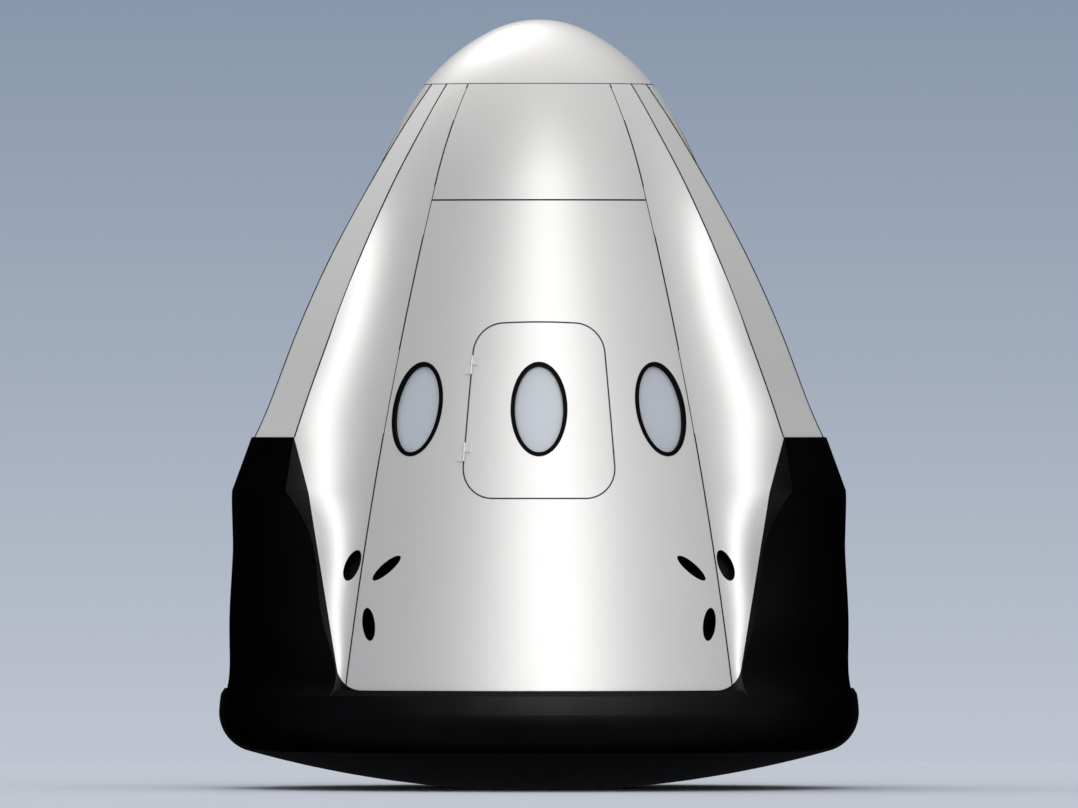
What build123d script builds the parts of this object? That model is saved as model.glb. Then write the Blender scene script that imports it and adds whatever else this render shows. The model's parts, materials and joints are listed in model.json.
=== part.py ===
from build123d import *
import math
import os

# Crewed space capsule. Millimetres, +Z up, the hatch faces -Y, and the origin lies on the floor
# under the middle. An azimuth is counted in degrees from -Y towards +X, about the Z axis.

# Docking passage through the nose, with its ring and guide petals
TUNNEL_RADIUS = 400.0
TUNNEL_WALL = 30.0
RING_WIDTH = 90.0
RING_HEIGHT = 110.0
RING_CLEARANCE = 86.0
RING_RADIUS = TUNNEL_RADIUS + TUNNEL_WALL + RING_WIDTH
PETAL_HEIGHT = 95.0
PETAL_THICKNESS = 22.0
PETAL_HALF_ANGLE = 22.0
PETAL_COUNT = 3

# Outer form of the body, a surface of revolution: two tangent arcs from the nose seam to the foot
WALL = 110.0
NOSE_SEAM_Z = 4394.0
NOSE_SEAM_RADIUS = RING_RADIUS + RING_CLEARANCE + WALL
SHOULDER_DROP = 594.0
SHOULDER_STEP = 320.0
SHOULDER_Z = NOSE_SEAM_Z - SHOULDER_DROP
SHOULDER_RADIUS = NOSE_SEAM_RADIUS + SHOULDER_STEP
FOOT_Z = 625.0
FOOT_RADIUS = 1950.0
SHOULDER_BULGE = 21.0
BODY_BULGE = 72.0
UPPER_PANEL_HEIGHT = 725.0
UPPER_SEAM_Z = NOSE_SEAM_Z - UPPER_PANEL_HEIGHT
SEAM_GAP = 0.3

# Azimuths where the body's panels meet the pods, and where the pods stand
FRONT_EDGE_AZIMUTH = 38.0
POD_AZIMUTH = 60.0
POD_HALF_ANGLE = POD_AZIMUTH - FRONT_EDGE_AZIMUTH
POD_AZIMUTHS = {
    "front_right": POD_AZIMUTH,
    "front_left": -POD_AZIMUTH,
    "rear_right": 180 - POD_AZIMUTH,
    "rear_left": POD_AZIMUTH - 180,
}

# Pods: a flat outer face between two hollow flanks. A standoff is counted from the body's surface
# at the same height, in the middle of the pod
COVER_TOP_Z = 2194.0
POD_STANDOFF = 324.8
POD_HALF_WIDTH = 250.0
# Height from the cover's top to the nose seam, share of the standoff, share of the half width
FAIRING_SHARES = (
    (0.0, 1.0, 1.0),
    (0.2755, 0.7662, 0.868),
    (0.531, 0.5226, 0.724),
    (0.73, 0.2493, 0.56),
    (0.8664, 0.0828, 0.488),
    (1.0, 0.0062, 0.376),
)
COVER_STEP = 15.0
COVER_LAP = 35.0
COVER_FOOT_Z = FOOT_Z - COVER_LAP
COVER_SHOULDER_HEIGHT = 332.0
KINK_Z = COVER_TOP_Z - COVER_SHOULDER_HEIGHT
KINK_STANDOFF = 347.2
KINK_HALF_WIDTH = 337.0
KINK_CROWN = 3.0
# Height from the cover's foot to the kink, share of the standoff, shares of the kink's half width
# that give the half width and the crown: below the kink the face rounds out to follow the band
COVER_SHARES = (
    (1.0, 1.0, 1.0, 0.009),
    (0.907, 0.783, 1.2406, 0.1308),
    (0.803, 0.5699, 1.4269, 0.1749),
    (0.656, 0.3666, 1.5666, 0.2137),
    (0.303, 0.0, 1.8102, 0.2878),
    (0.0, -0.2212, 1.9433, 0.3206),
)

# Notches in the black skin where the white body shows
NOTCH_KINK_DROP = 12.0
NOTCH_KINK_Z = KINK_Z - NOTCH_KINK_DROP
NOTCH_CORNER_HEIGHT = 163.0
NOTCH_LOW_Z = FOOT_Z + NOTCH_CORNER_HEIGHT
NOTCH_CORNER_RADIUS = 156.0
# Half widths at the cover's top, at the kink and low down, of the foot's radius
FRONT_NOTCH_SHARES = (0.7805, 0.7338, 0.6451)
SIDE_NOTCH_SHARES = (0.3728, 0.3077, 0.1774)

# Base band and heat shield
BAND_EDGE_STEP = 16.0
BAND_CHAMFER_STEP = 38.0
BAND_STEP = 50.0
BAND_DEPTH = 300.0
BAND_EDGE_RADIUS = FOOT_RADIUS + BAND_EDGE_STEP
BAND_CHAMFER_RADIUS = FOOT_RADIUS + BAND_CHAMFER_STEP
BAND_RADIUS = FOOT_RADIUS + BAND_STEP
BAND_INNER_RADIUS = BAND_RADIUS - BAND_DEPTH
BAND_TOP_INNER_RADIUS = FOOT_RADIUS - WALL
BAND_DROP = 150.0
BAND_MIDDLE_Z = FOOT_Z - BAND_DROP
BAND_ROUND = 250.0
BAND_ROUND_SHARE = 0.952
BAND_HALF_TURN = 36.0
SHIELD_TOP_Z = BAND_MIDDLE_Z - BAND_ROUND_SHARE * BAND_ROUND
SHIELD_FLAT_RADIUS = 475.0
SHIELD_BULGE = 34.0

# Nose cap: two tangent arcs, closed on the seam
CAP_HEIGHT = 409.0
CAP_TOP_Z = NOSE_SEAM_Z + CAP_HEIGHT
CAP_CROWN_RADIUS = 675.0
CAP_CROWN_HALF = 300.0
CAP_WALL = 40.0
CAP_GAP = 5.0
CAP_HINGE_STANDOFF = 62.0
CAP_HINGE_REACH = 150.0

# Hatch in the front skin: its sides follow two azimuths, and all edges narrow inwards
HATCH_MIDDLE_Z = 2362.0
HATCH_HEIGHT = 1100.0
HATCH_TOP_Z = HATCH_MIDDLE_Z + HATCH_HEIGHT / 2
HATCH_BOTTOM_Z = HATCH_MIDDLE_Z - HATCH_HEIGHT / 2
HATCH_HALF_ANGLE = 16.9
HATCH_TOP_DRAFT = 4.3
HATCH_CORNER_RADIUS = 195.0
HATCH_GAP = 6.0
HATCH_HINGE_DROP = 262.0
HATCH_HINGE_RISE = 278.0
HATCH_HINGE_PROUD = 10.0
HATCH_KNUCKLE_RADIUS = 8.0
HATCH_KNUCKLE_LENGTH = 60.0
HATCH_LEAF_WIDTH = 40.0
HATCH_LEAF_THICKNESS = 6.0
HATCH_PIN_RADIUS = 3.5
LATCH_RADIUS = 75.0
LATCH_THICKNESS = 30.0
LATCH_RISE = 150.0

# Windows: one oval, used in the hatch and beside it
WINDOW_RISE = 7.0
WINDOW_Z = HATCH_MIDDLE_Z + WINDOW_RISE
WINDOW_AZIMUTH = 29.9
WINDOW_HALF_WIDTH = 177.0
WINDOW_HALF_HEIGHT = 306.0
WINDOW_RIM_WIDTH = 27.0
WINDOW_RIM_PROUD = 3.0
WINDOW_RIM_DEPTH = 22.0
PANE_THICKNESS = 26.0

# Oval thruster ports: two each side in the front and rear skins, one in each pod's flank
PORT_FLOOR = 15.0
PORT_DEPTH = WALL - PORT_FLOOR
PORT_LIP = 7.0
PORT_SIZE = 100.0
PORT_Z = 1390.0
FLANK_PORT_PROUD = 13.0
# Azimuth, azimuth that it points to, lean in its own plane, all in degrees, then height as a share
# of PORT_Z, and half width and half height as shares of PORT_SIZE
SKIN_PORT_SHARES = (
    (32.0, 32.0, -39.3, 0.995, 1.18, 0.374),
    (34.5, 34.5, -17.2, 0.744, 0.465, 1.09),
)
FLANK_PORT_SHARES = (40.3, 19.0, 18.6, 1.004, 0.49, 1.02)

# Forward deck under the nose cap, and its small thrusters
DECK_DROP = 64.0
DECK_TOP_Z = NOSE_SEAM_Z - DECK_DROP
DECK_THICKNESS = 50.0
TUNNEL_DROP = 160.0
TUNNEL_FOOT_Z = DECK_TOP_Z - TUNNEL_DROP
RING_TOP_Z = DECK_TOP_Z + RING_HEIGHT
FORWARD_THRUSTER_RADIUS = 36.0
FORWARD_THRUSTER_HEIGHT = 55.0
FORWARD_THRUSTER_WALL = 6.0

# Forward hatch, a round lid that closes the tunnel from below
LID_LAP = 40.0
LID_RADIUS = TUNNEL_RADIUS + LID_LAP
LID_THICKNESS = 50.0
LID_GAP = 5.0
LID_HINGE_STANDOFF = 60.0

# Hinge pieces
LUG_THICKNESS = 24.0
LUG_RADIUS = 26.0
PIN_RADIUS = 10.0
PIN_GAP = 0.3
HINGE_SIDE_GAP = 2.0
NOSE_HINGE_HALF = 130.0
LID_HINGE_HALF = 80.0

# Cabin
FLOOR_TOP_Z = 1110.0
FLOOR_THICKNESS = 60.0
SEAT_COUNT = 4
SEAT_WIDTH = 460.0
SEAT_SPACING = 100.0
SEAT_SHELL = 30.0
SEAT_CUSHION = 60.0
SEAT_LENGTH = 470.0
SEAT_BACK = 820.0
SEAT_FRONT_Y = -250.0
SEAT_LEG_HEIGHT = 330.0
SEAT_LEG_WIDTH = 60.0
SEAT_LEAN = 20.0
SOFT_GAP = 0.3
CONSOLE_WIDTH = 1100.0
CONSOLE_HEIGHT = 380.0
CONSOLE_DEPTH = 60.0
CONSOLE_Y = -350.0
CONSOLE_DROP = 1130.0
CONSOLE_Z = DECK_TOP_Z - DECK_THICKNESS - CONSOLE_DROP
CONSOLE_LEAN = 25.0
CONSOLE_POST_RADIUS = 30.0

# Length by which cutting shapes run past what they cut
OVERRUN = 200.0


def arc_circle(start, end, bulge):
    """Centre and radius of an arc that goes down from start to end and bulges outwards."""
    chord = math.dist(start, end)
    radius = (chord**2 / 4 + bulge**2) / (2 * bulge)
    along = ((end[0] - start[0]) / chord, (end[1] - start[1]) / chord)
    middle = ((start[0] + end[0]) / 2, (start[1] + end[1]) / 2)
    reach = radius - bulge
    return (middle[0] + along[1] * reach, middle[1] - along[0] * reach), radius


SHOULDER_POINT = (SHOULDER_RADIUS, SHOULDER_Z)
UPPER_CIRCLE = arc_circle((NOSE_SEAM_RADIUS, NOSE_SEAM_Z), SHOULDER_POINT, SHOULDER_BULGE)
LOWER_CIRCLE = arc_circle(SHOULDER_POINT, (FOOT_RADIUS, FOOT_Z), BODY_BULGE)


def body_radius(z):
    """Radius of the white body at a height."""
    (centre_r, centre_z), radius = UPPER_CIRCLE if z > SHOULDER_Z else LOWER_CIRCLE
    return centre_r + math.sqrt(radius**2 - (z - centre_z) ** 2)


def body_slope(z):
    """Angle in degrees by which the body's surface leans inwards at a height."""
    (_, centre_z), radius = UPPER_CIRCLE if z > SHOULDER_Z else LOWER_CIRCLE
    return math.degrees(math.asin((z - centre_z) / radius))


def at_azimuth(azimuth):
    """Turn about Z that brings +X to an azimuth."""
    return Rot(0, 0, azimuth - 90)


def outline(z_low, z_high, inset):
    """Arcs of the body's outline, moved inwards by inset, from z_high down to z_low."""
    stops = [z for z in (z_high, SHOULDER_Z, z_low) if z_low <= z <= z_high]
    arcs = []
    for top, bottom in zip(stops, stops[1:]):
        middle = (top + bottom) / 2
        points = [(body_radius(z) - inset, z) for z in (top, middle, bottom)]
        arcs.append(ThreePointArc(*points))
    return arcs


def shell_sector(z_low, z_high, outer_inset, inner_inset, azimuth_from, azimuth_to):
    """Solid between two depths under the body's surface, from one azimuth to another."""
    outer = outline(z_low, z_high, outer_inset)
    inner = outline(z_low, z_high, inner_inset)
    top = Line(inner[0] @ 0, outer[0] @ 0)
    bottom = Line(inner[-1] @ 1, outer[-1] @ 1)
    profile = Plane.XZ * make_face(outer + inner + [top, bottom])
    return revolve(at_azimuth(azimuth_from) * profile, Axis.Z, azimuth_to - azimuth_from)


def skin_panel(z_low, z_high, azimuth_from, azimuth_to):
    """Wall panel that stops short of its neighbours by the seam gap."""
    trim = math.degrees(SEAM_GAP / FOOT_RADIUS)
    return shell_sector(z_low, z_high, 0, WALL, azimuth_from + trim, azimuth_to - trim)


def pod_section(z, standoff, half_width, crown):
    """Section of a pod that points to +X: hollow flanks, an outer face and the inner wall."""
    angle = math.radians(POD_HALF_ANGLE)
    radius = body_radius(z)
    corner_distance = radius + standoff
    root = (radius * math.cos(angle), radius * math.sin(angle))
    inner = ((radius - WALL) * math.cos(angle), (radius - WALL) * math.sin(angle))
    corner = (corner_distance, half_width)
    flank = TangentArc(root, corner, tangent=(math.sin(angle), -math.cos(angle)))
    middle = flank @ 0.5
    low_corner = (corner_distance, -half_width)
    if crown:
        face = ThreePointArc(corner, (corner_distance + crown, 0), low_corner)
    else:
        face = Line(corner, low_corner)
    edges = [
        flank,
        face,
        ThreePointArc(low_corner, (middle.X, -middle.Y), (root[0], -root[1])),
        Line((root[0], -root[1]), (inner[0], -inner[1])),
        ThreePointArc((inner[0], -inner[1]), (radius - WALL, 0), inner),
        Line(inner, root),
    ]
    return Pos(0, 0, z) * make_face(edges)


def fairing_form():
    """White pod from the cover's top up to the nose seam, pointing to +X."""
    height = NOSE_SEAM_Z - COVER_TOP_Z
    sections = [
        pod_section(COVER_TOP_Z + rise * height, out * POD_STANDOFF, width * POD_HALF_WIDTH, 0)
        for rise, out, width in FAIRING_SHARES
    ]
    return loft(sections)


def low_pod_form():
    """Pod below the kink, pointing to +X."""
    height = KINK_Z - COVER_FOOT_Z
    sections = [
        pod_section(
            COVER_FOOT_Z + rise * height,
            out * KINK_STANDOFF,
            width * KINK_HALF_WIDTH,
            crown * KINK_HALF_WIDTH,
        )
        for rise, out, width, crown in COVER_SHARES
    ]
    return loft(sections)


def high_pod_form(step):
    """Pod from the kink to the cover's top, pointing to +X and proud of the fairing by step."""
    crown = COVER_SHARES[0][-1] * KINK_HALF_WIDTH
    kink = pod_section(KINK_Z, KINK_STANDOFF, KINK_HALF_WIDTH, crown)
    top = pod_section(COVER_TOP_Z, POD_STANDOFF + step, POD_HALF_WIDTH + step, KINK_CROWN)
    return loft([kink, top])


def upper_panel(azimuth):
    """Panel under the nose seam, at the front or the rear."""
    half = FRONT_EDGE_AZIMUTH
    return Rot(0, 0, azimuth) * skin_panel(UPPER_SEAM_Z, NOSE_SEAM_Z, -half, half)


def notch(shares):
    """Cutting shape of a notch that faces -Y, open at the top."""
    top, kink, low = (share * FOOT_RADIUS for share in shares)
    slope = (kink - low) / (NOTCH_KINK_Z - NOTCH_LOW_Z)
    foot = low - slope * (NOTCH_LOW_Z - FOOT_Z)
    flare = (top - kink) / (COVER_TOP_Z - NOTCH_KINK_Z)
    high = top + flare * OVERRUN
    corners = [
        (-high, COVER_TOP_Z + OVERRUN),
        (-kink, NOTCH_KINK_Z),
        (-foot, FOOT_Z),
        (foot, FOOT_Z),
        (kink, NOTCH_KINK_Z),
        (high, COVER_TOP_Z + OVERRUN),
    ]
    face = make_face(Polyline(*corners, close=True))
    low_corners = face.vertices().sort_by(Axis.Y)[:2]
    face = fillet(low_corners, NOTCH_CORNER_RADIUS)
    reach = BAND_RADIUS + OVERRUN
    return extrude(Plane.XZ * face, reach)


def normal_plane(azimuth, z, proud=0.0, points_to=None):
    """Plane at the body's surface whose normal points outwards and whose Y runs up the surface."""
    lean = math.radians(body_slope(z))
    facing = math.radians(azimuth if points_to is None else points_to)
    place = math.radians(azimuth)
    radius = body_radius(z)
    normal = Vector(
        math.sin(facing) * math.cos(lean), -math.cos(facing) * math.cos(lean), math.sin(lean)
    )
    across = Vector(math.cos(facing), math.sin(facing), 0)
    origin = Vector(radius * math.sin(place), -radius * math.cos(place), z) + normal * proud
    return Plane(origin=origin, x_dir=across, z_dir=normal)


def hatch_form(gap):
    """Plug shape of the hatch, made smaller by gap on every side."""
    lean = math.radians(body_slope(HATCH_MIDDLE_Z))
    middle_radius = body_radius(HATCH_MIDDLE_Z)
    side = math.tan(math.radians(HATCH_HALF_ANGLE))

    def on_plane(z):
        """Rise up the hatch's middle plane, and height over it, of the surface's point at z."""
        out, up = body_radius(z) - middle_radius, z - HATCH_MIDDLE_Z
        rise = up * math.cos(lean) - out * math.sin(lean)
        return rise, out * math.cos(lean) + up * math.sin(lean)

    (top, top_depth), (bottom, bottom_depth) = on_plane(HATCH_TOP_Z), on_plane(HATCH_BOTTOM_Z)
    faces = []
    for depth in (OVERRUN, -WALL - OVERRUN):
        high = top + (depth - top_depth) * math.tan(math.radians(HATCH_TOP_DRAFT))
        low = bottom - (depth - bottom_depth) * math.tan(lean)
        halves = [
            (middle_radius - rise * math.sin(lean) + depth * math.cos(lean)) * side
            for rise in (high, low)
        ]
        corners = [(-halves[0], high), (halves[0], high), (halves[1], low), (-halves[1], low)]
        face = make_face(Polyline(*corners, close=True))
        face = fillet(face.vertices(), HATCH_CORNER_RADIUS)
        if gap:
            face = offset(face, -gap)
        faces.append((normal_plane(0, HATCH_MIDDLE_Z).offset(depth) * face).face())
    return loft(faces, ruled=True)


def oval_prism(azimuth, z, inset):
    """Prism through the wall whose section is the window's oval made smaller by inset."""
    oval = Ellipse(WINDOW_HALF_WIDTH - inset, WINDOW_HALF_HEIGHT - inset)
    plane = normal_plane(azimuth, z, proud=-WALL - OVERRUN)
    return extrude(plane * oval, WALL + 2 * OVERRUN)


def window_slab(azimuth, outer_inset, inner_inset):
    """Stretch of the wall between two depths, wider than a window."""
    low = WINDOW_Z - 2 * WINDOW_HALF_HEIGHT
    high = WINDOW_Z + 2 * WINDOW_HALF_HEIGHT
    half = HATCH_HALF_ANGLE
    return shell_sector(low, high, outer_inset, inner_inset, azimuth - half, azimuth + half)


def window_rim(azimuth):
    """Black rim that lies in the window's cut and stands a little proud."""
    slab = window_slab(azimuth, -WINDOW_RIM_PROUD, WINDOW_RIM_DEPTH)
    outer = oval_prism(azimuth, WINDOW_Z, SEAM_GAP)
    return slab & (outer - oval_prism(azimuth, WINDOW_Z, WINDOW_RIM_WIDTH))


def window_pane(azimuth):
    """Glass under the rim."""
    outer = WINDOW_RIM_DEPTH + SEAM_GAP
    slab = window_slab(azimuth, outer, outer + PANE_THICKNESS)
    return slab & oval_prism(azimuth, WINDOW_Z, SEAM_GAP)


def port_places(side, table):
    """Plane, half width and half height of each port of one side."""
    places = []
    for azimuth, points_to, lean, height, half_width, half_height in table:
        proud = 0.0 if azimuth == points_to else FLANK_PORT_PROUD
        plane = normal_plane(side * azimuth, height * PORT_Z, proud, side * points_to)
        turn = math.radians(side * lean)
        long_way = plane.x_dir * math.cos(turn) + plane.y_dir * math.sin(turn)
        turned = Plane(origin=plane.origin, x_dir=long_way, z_dir=plane.z_dir)
        places.append((turned, half_width * PORT_SIZE, half_height * PORT_SIZE))
    return places


def port_cut(plane, half_width, half_height):
    """Pocket of one port."""
    oval = plane.offset(-PORT_DEPTH) * Ellipse(half_width, half_height)
    return extrude(oval, PORT_DEPTH + OVERRUN)


def port_nozzle(plane, half_width, half_height):
    """Dark cup on the bottom of one pocket."""
    floor = SEAM_GAP - PORT_DEPTH
    outer = Ellipse(half_width - SEAM_GAP, half_height - SEAM_GAP)
    inner = Ellipse(half_width - PORT_LIP, half_height - PORT_LIP)
    cup = extrude(plane.offset(floor) * outer, PORT_DEPTH / 2)
    return cup - extrude(plane.offset(floor + PORT_LIP) * inner, PORT_DEPTH)


def nose_dome(inset):
    """Solid dome of the nose cap's form, standing on the seam and made smaller by inset."""
    turn = CAP_CROWN_HALF / CAP_CROWN_RADIUS
    radius = CAP_CROWN_RADIUS - inset
    top_z = CAP_TOP_Z - inset
    crown_end = (radius * turn, top_z - radius * (1 - math.sqrt(1 - turn**2)))
    half_turn = turn / 2
    crown_middle = (radius * half_turn, top_z - radius * (1 - math.sqrt(1 - half_turn**2)))
    foot = (NOSE_SEAM_RADIUS - inset, NOSE_SEAM_Z)
    side = TangentArc(crown_end, foot, tangent=(math.sqrt(1 - turn**2), -turn))
    edges = [
        ThreePointArc((0, top_z), crown_middle, crown_end),
        side,
        Line(foot, (0, NOSE_SEAM_Z)),
        Line((0, NOSE_SEAM_Z), (0, top_z)),
    ]
    return revolve(Plane.XZ * make_face(edges), Axis.Z)


def nose_cap():
    """Hollow dome over the docking gear, with its foot just above the seam."""
    foot = Pos(0, 0, NOSE_SEAM_Z) * Cylinder(NOSE_SEAM_RADIUS + OVERRUN, 2 * CAP_GAP)
    return nose_dome(0) - nose_dome(CAP_WALL) - foot


def plate_yz(points, width, x_middle=0.0):
    """Plate of an outline in the YZ plane, with its middle at x_middle."""
    face = Plane.YZ * make_face(Polyline(*points, close=True))
    return Pos(x_middle - width / 2, 0, 0) * extrude(face, width)


def rod_x(y, z, radius, length, x_middle=0.0):
    """Cylinder along X."""
    return Pos(x_middle, y, z) * Rot(0, 90, 0) * Cylinder(radius, length)


def hinge_lugs(y, z, half, web):
    """Two lugs joined by a pin along X; web gives the outline that reaches what carries them."""
    lugs = rod_x(y, z, PIN_RADIUS, 2 * half + LUG_THICKNESS)
    for side in (-1, 1):
        lugs += rod_x(y, z, LUG_RADIUS, LUG_THICKNESS, side * half)
        lugs += plate_yz(web, LUG_THICKNESS, side * half)
    return lugs


def hinge_arm(y, z, half, web):
    """Knuckle between two lugs with the web that reaches what it carries."""
    width = 2 * half - LUG_THICKNESS - 2 * HINGE_SIDE_GAP
    arm = rod_x(y, z, LUG_RADIUS, width) + plate_yz(web, width)
    return arm - rod_x(y, z, PIN_RADIUS + PIN_GAP, width + OVERRUN)


def nose_hinge(panel, cap):
    """Lugs on the rear upper panel and the arm on the cap."""
    y, z = NOSE_SEAM_RADIUS + CAP_HINGE_STANDOFF, NOSE_SEAM_Z
    low = z - CAP_HINGE_REACH
    lug_web = [
        (y - LUG_RADIUS, z),
        (y + LUG_RADIUS, z),
        (body_radius(low) + LUG_RADIUS, low),
        (body_radius(low) - WALL / 2, low),
    ]
    arm_web = [
        (y, z + CAP_GAP),
        (NOSE_SEAM_RADIUS - CAP_WALL / 2, z + CAP_GAP),
        (NOSE_SEAM_RADIUS - 2 * CAP_WALL, z + 2 * CAP_WALL),
        (NOSE_SEAM_RADIUS - CAP_WALL / 2, z + 2 * CAP_WALL),
        (y, z + LUG_RADIUS),
    ]
    lugs = hinge_lugs(y, z, NOSE_HINGE_HALF, lug_web) - panel
    arm = hinge_arm(y, z, NOSE_HINGE_HALF, arm_web) - cap
    return lugs, arm


def forward_lid():
    """Round hatch under the tunnel."""
    top = TUNNEL_FOOT_Z - LID_GAP
    return Pos(0, 0, top - LID_THICKNESS / 2) * Cylinder(LID_RADIUS, LID_THICKNESS)


def lid_hinge(lid):
    """Lugs under the deck and the arm on the lid."""
    y, z = LID_RADIUS + LID_HINGE_STANDOFF, TUNNEL_FOOT_Z - LID_GAP - LID_THICKNESS / 2
    under_deck = DECK_TOP_Z - DECK_THICKNESS
    lug_web = [
        (y - LUG_RADIUS, z),
        (y + LUG_RADIUS, z),
        (y + LUG_RADIUS, under_deck),
        (y - LUG_RADIUS, under_deck),
    ]
    half = LID_THICKNESS / 2
    arm_web = [(y, z - half), (y, z + half), (LID_RADIUS / 2, z + half), (LID_RADIUS / 2, z - half)]
    return hinge_lugs(y, z, LID_HINGE_HALF, lug_web), hinge_arm(y, z, LID_HINGE_HALF, arm_web) - lid


def hatch_hinge_axis():
    """Lower and upper point of the hatch's hinge line, in the gap at the left edge."""
    points = []
    for z in (HATCH_MIDDLE_Z - HATCH_HINGE_DROP, HATCH_MIDDLE_Z + HATCH_HINGE_RISE):
        azimuth = HATCH_HALF_ANGLE - math.degrees(HATCH_GAP / 2 / body_radius(z))
        points.append(normal_plane(-azimuth, z, HATCH_HINGE_PROUD).origin)
    return points


def hatch_hinges(skin, door):
    """Fixed knuckles with their pins, and the leaves that turn with the door."""
    low, high = hatch_hinge_axis()
    up = (high - low).normalized()
    outward = normal_plane(-HATCH_HALF_ANGLE, HATCH_MIDDLE_Z).z_dir
    across = up.cross(outward).normalized()
    fixed, moving = Part(), Part()
    for place in (low, high):
        frame = Plane(origin=place, x_dir=across, z_dir=up)
        half = HATCH_KNUCKLE_LENGTH / 2
        knuckle = Cylinder(HATCH_KNUCKLE_RADIUS, HATCH_KNUCKLE_LENGTH - HINGE_SIDE_GAP)
        leaf = Box(
            HATCH_LEAF_WIDTH,
            HATCH_LEAF_THICKNESS + HATCH_HINGE_PROUD / 2,
            HATCH_KNUCKLE_LENGTH - HINGE_SIDE_GAP,
        )
        side = HATCH_LEAF_WIDTH / 2
        drop = HATCH_HINGE_PROUD - HATCH_LEAF_THICKNESS / 2
        pin = Cylinder(HATCH_PIN_RADIUS, 2 * HATCH_KNUCKLE_LENGTH)
        bore = Cylinder(HATCH_PIN_RADIUS + PIN_GAP, 2 * HATCH_KNUCKLE_LENGTH + OVERRUN)
        fixed += frame * (Pos(0, 0, -half) * (knuckle + Pos(-side, drop, 0) * leaf) + pin)
        moving += frame * (Pos(0, 0, half) * (knuckle + Pos(side, drop, 0) * leaf) - bore)
    return fixed - skin, moving - door


def base_band():
    """Black band above the heat shield."""
    round_centre = BAND_RADIUS - BAND_ROUND
    low_radius = round_centre + math.sqrt(BAND_ROUND**2 - (BAND_MIDDLE_Z - SHIELD_TOP_Z) ** 2)
    half_turn = math.radians(BAND_HALF_TURN)
    edges = [
        Line((BAND_TOP_INNER_RADIUS, FOOT_Z), (BAND_EDGE_RADIUS, FOOT_Z)),
        Line((BAND_EDGE_RADIUS, FOOT_Z), (BAND_CHAMFER_RADIUS, COVER_FOOT_Z)),
        ThreePointArc(
            (BAND_CHAMFER_RADIUS, COVER_FOOT_Z),
            (
                (BAND_CHAMFER_RADIUS + 2 * BAND_RADIUS) / 3,
                (COVER_FOOT_Z + BAND_MIDDLE_Z) / 2,
            ),
            (BAND_RADIUS, BAND_MIDDLE_Z),
        ),
        ThreePointArc(
            (BAND_RADIUS, BAND_MIDDLE_Z),
            (
                round_centre + BAND_ROUND * math.cos(half_turn),
                BAND_MIDDLE_Z - BAND_ROUND * math.sin(half_turn),
            ),
            (low_radius, SHIELD_TOP_Z),
        ),
        Line((low_radius, SHIELD_TOP_Z), (BAND_INNER_RADIUS, SHIELD_TOP_Z)),
        Line((BAND_INNER_RADIUS, SHIELD_TOP_Z), (BAND_TOP_INNER_RADIUS, FOOT_Z)),
    ]
    return revolve(Plane.XZ * make_face(edges), Axis.Z), low_radius


def heat_shield(rim_radius):
    """Shallow dish with a small flat that the capsule stands on."""
    edges = [
        Line((0, 0), (SHIELD_FLAT_RADIUS, 0)),
        SagittaArc((SHIELD_FLAT_RADIUS, 0), (rim_radius, SHIELD_TOP_Z), -SHIELD_BULGE),
        Line((rim_radius, SHIELD_TOP_Z), (0, SHIELD_TOP_Z)),
        Line((0, SHIELD_TOP_Z), (0, 0)),
    ]
    return revolve(Plane.XZ * make_face(edges), Axis.Z)


def ring(inner, outer, z_low, z_high):
    """Flat ring or tube about the Z axis."""
    height = z_high - z_low
    return Pos(0, 0, (z_low + z_high) / 2) * (Cylinder(outer, height) - Cylinder(inner, height))


def docking_petals():
    """Guide petals that stand on the docking ring."""
    inner = TUNNEL_RADIUS + TUNNEL_WALL
    wall = ring(inner, inner + PETAL_THICKNESS, RING_TOP_Z, RING_TOP_Z + PETAL_HEIGHT)
    reach = 2 * RING_RADIUS
    spread = reach * math.tan(math.radians(PETAL_HALF_ANGLE))
    wedge = extrude(make_face(Polyline((0, 0), (reach, spread), (reach, -spread), close=True)), reach)
    wedge = Pos(0, 0, RING_TOP_Z) * wedge
    return [
        wall & Rot(0, 0, 360 / PETAL_COUNT * turn - 90) * wedge for turn in range(PETAL_COUNT)
    ]


def forward_thrusters():
    """Four small nozzles on the deck around the docking ring."""
    place = (RING_RADIUS + body_radius(NOSE_SEAM_Z) - WALL) / 2
    outer = Cylinder(FORWARD_THRUSTER_RADIUS, FORWARD_THRUSTER_HEIGHT)
    bore = Cylinder(FORWARD_THRUSTER_RADIUS - FORWARD_THRUSTER_WALL, FORWARD_THRUSTER_HEIGHT)
    nozzle = outer - Pos(0, 0, FORWARD_THRUSTER_WALL) * bore
    height = DECK_TOP_Z + FORWARD_THRUSTER_HEIGHT / 2
    return [Rot(0, 0, 45 + 90 * turn) * Pos(place, 0, height) * nozzle for turn in range(4)]


def seat_places():
    """Middles of the seats along X."""
    pitch = SEAT_WIDTH + SEAT_SPACING
    return [(place - (SEAT_COUNT - 1) / 2) * pitch for place in range(SEAT_COUNT)]


def seat_part(thickness, rise, width):
    """Pan and leaning back of one seat as two slabs joined at the hip, rise above the shell."""
    hip_y, hip_z = SEAT_FRONT_Y + SEAT_LENGTH, FLOOR_TOP_Z + SEAT_LEG_HEIGHT
    low = (Align.CENTER, Align.MIN, Align.MIN)
    pan = Pos(0, SEAT_FRONT_Y, hip_z + rise) * Box(width, SEAT_LENGTH - rise, thickness, align=low)
    back_slab = Pos(0, -rise - thickness, rise) * Box(width, thickness, SEAT_BACK - rise, align=low)
    back = Pos(0, hip_y, hip_z) * Rot(-SEAT_LEAN, 0, 0) * back_slab
    return pan, back


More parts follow.
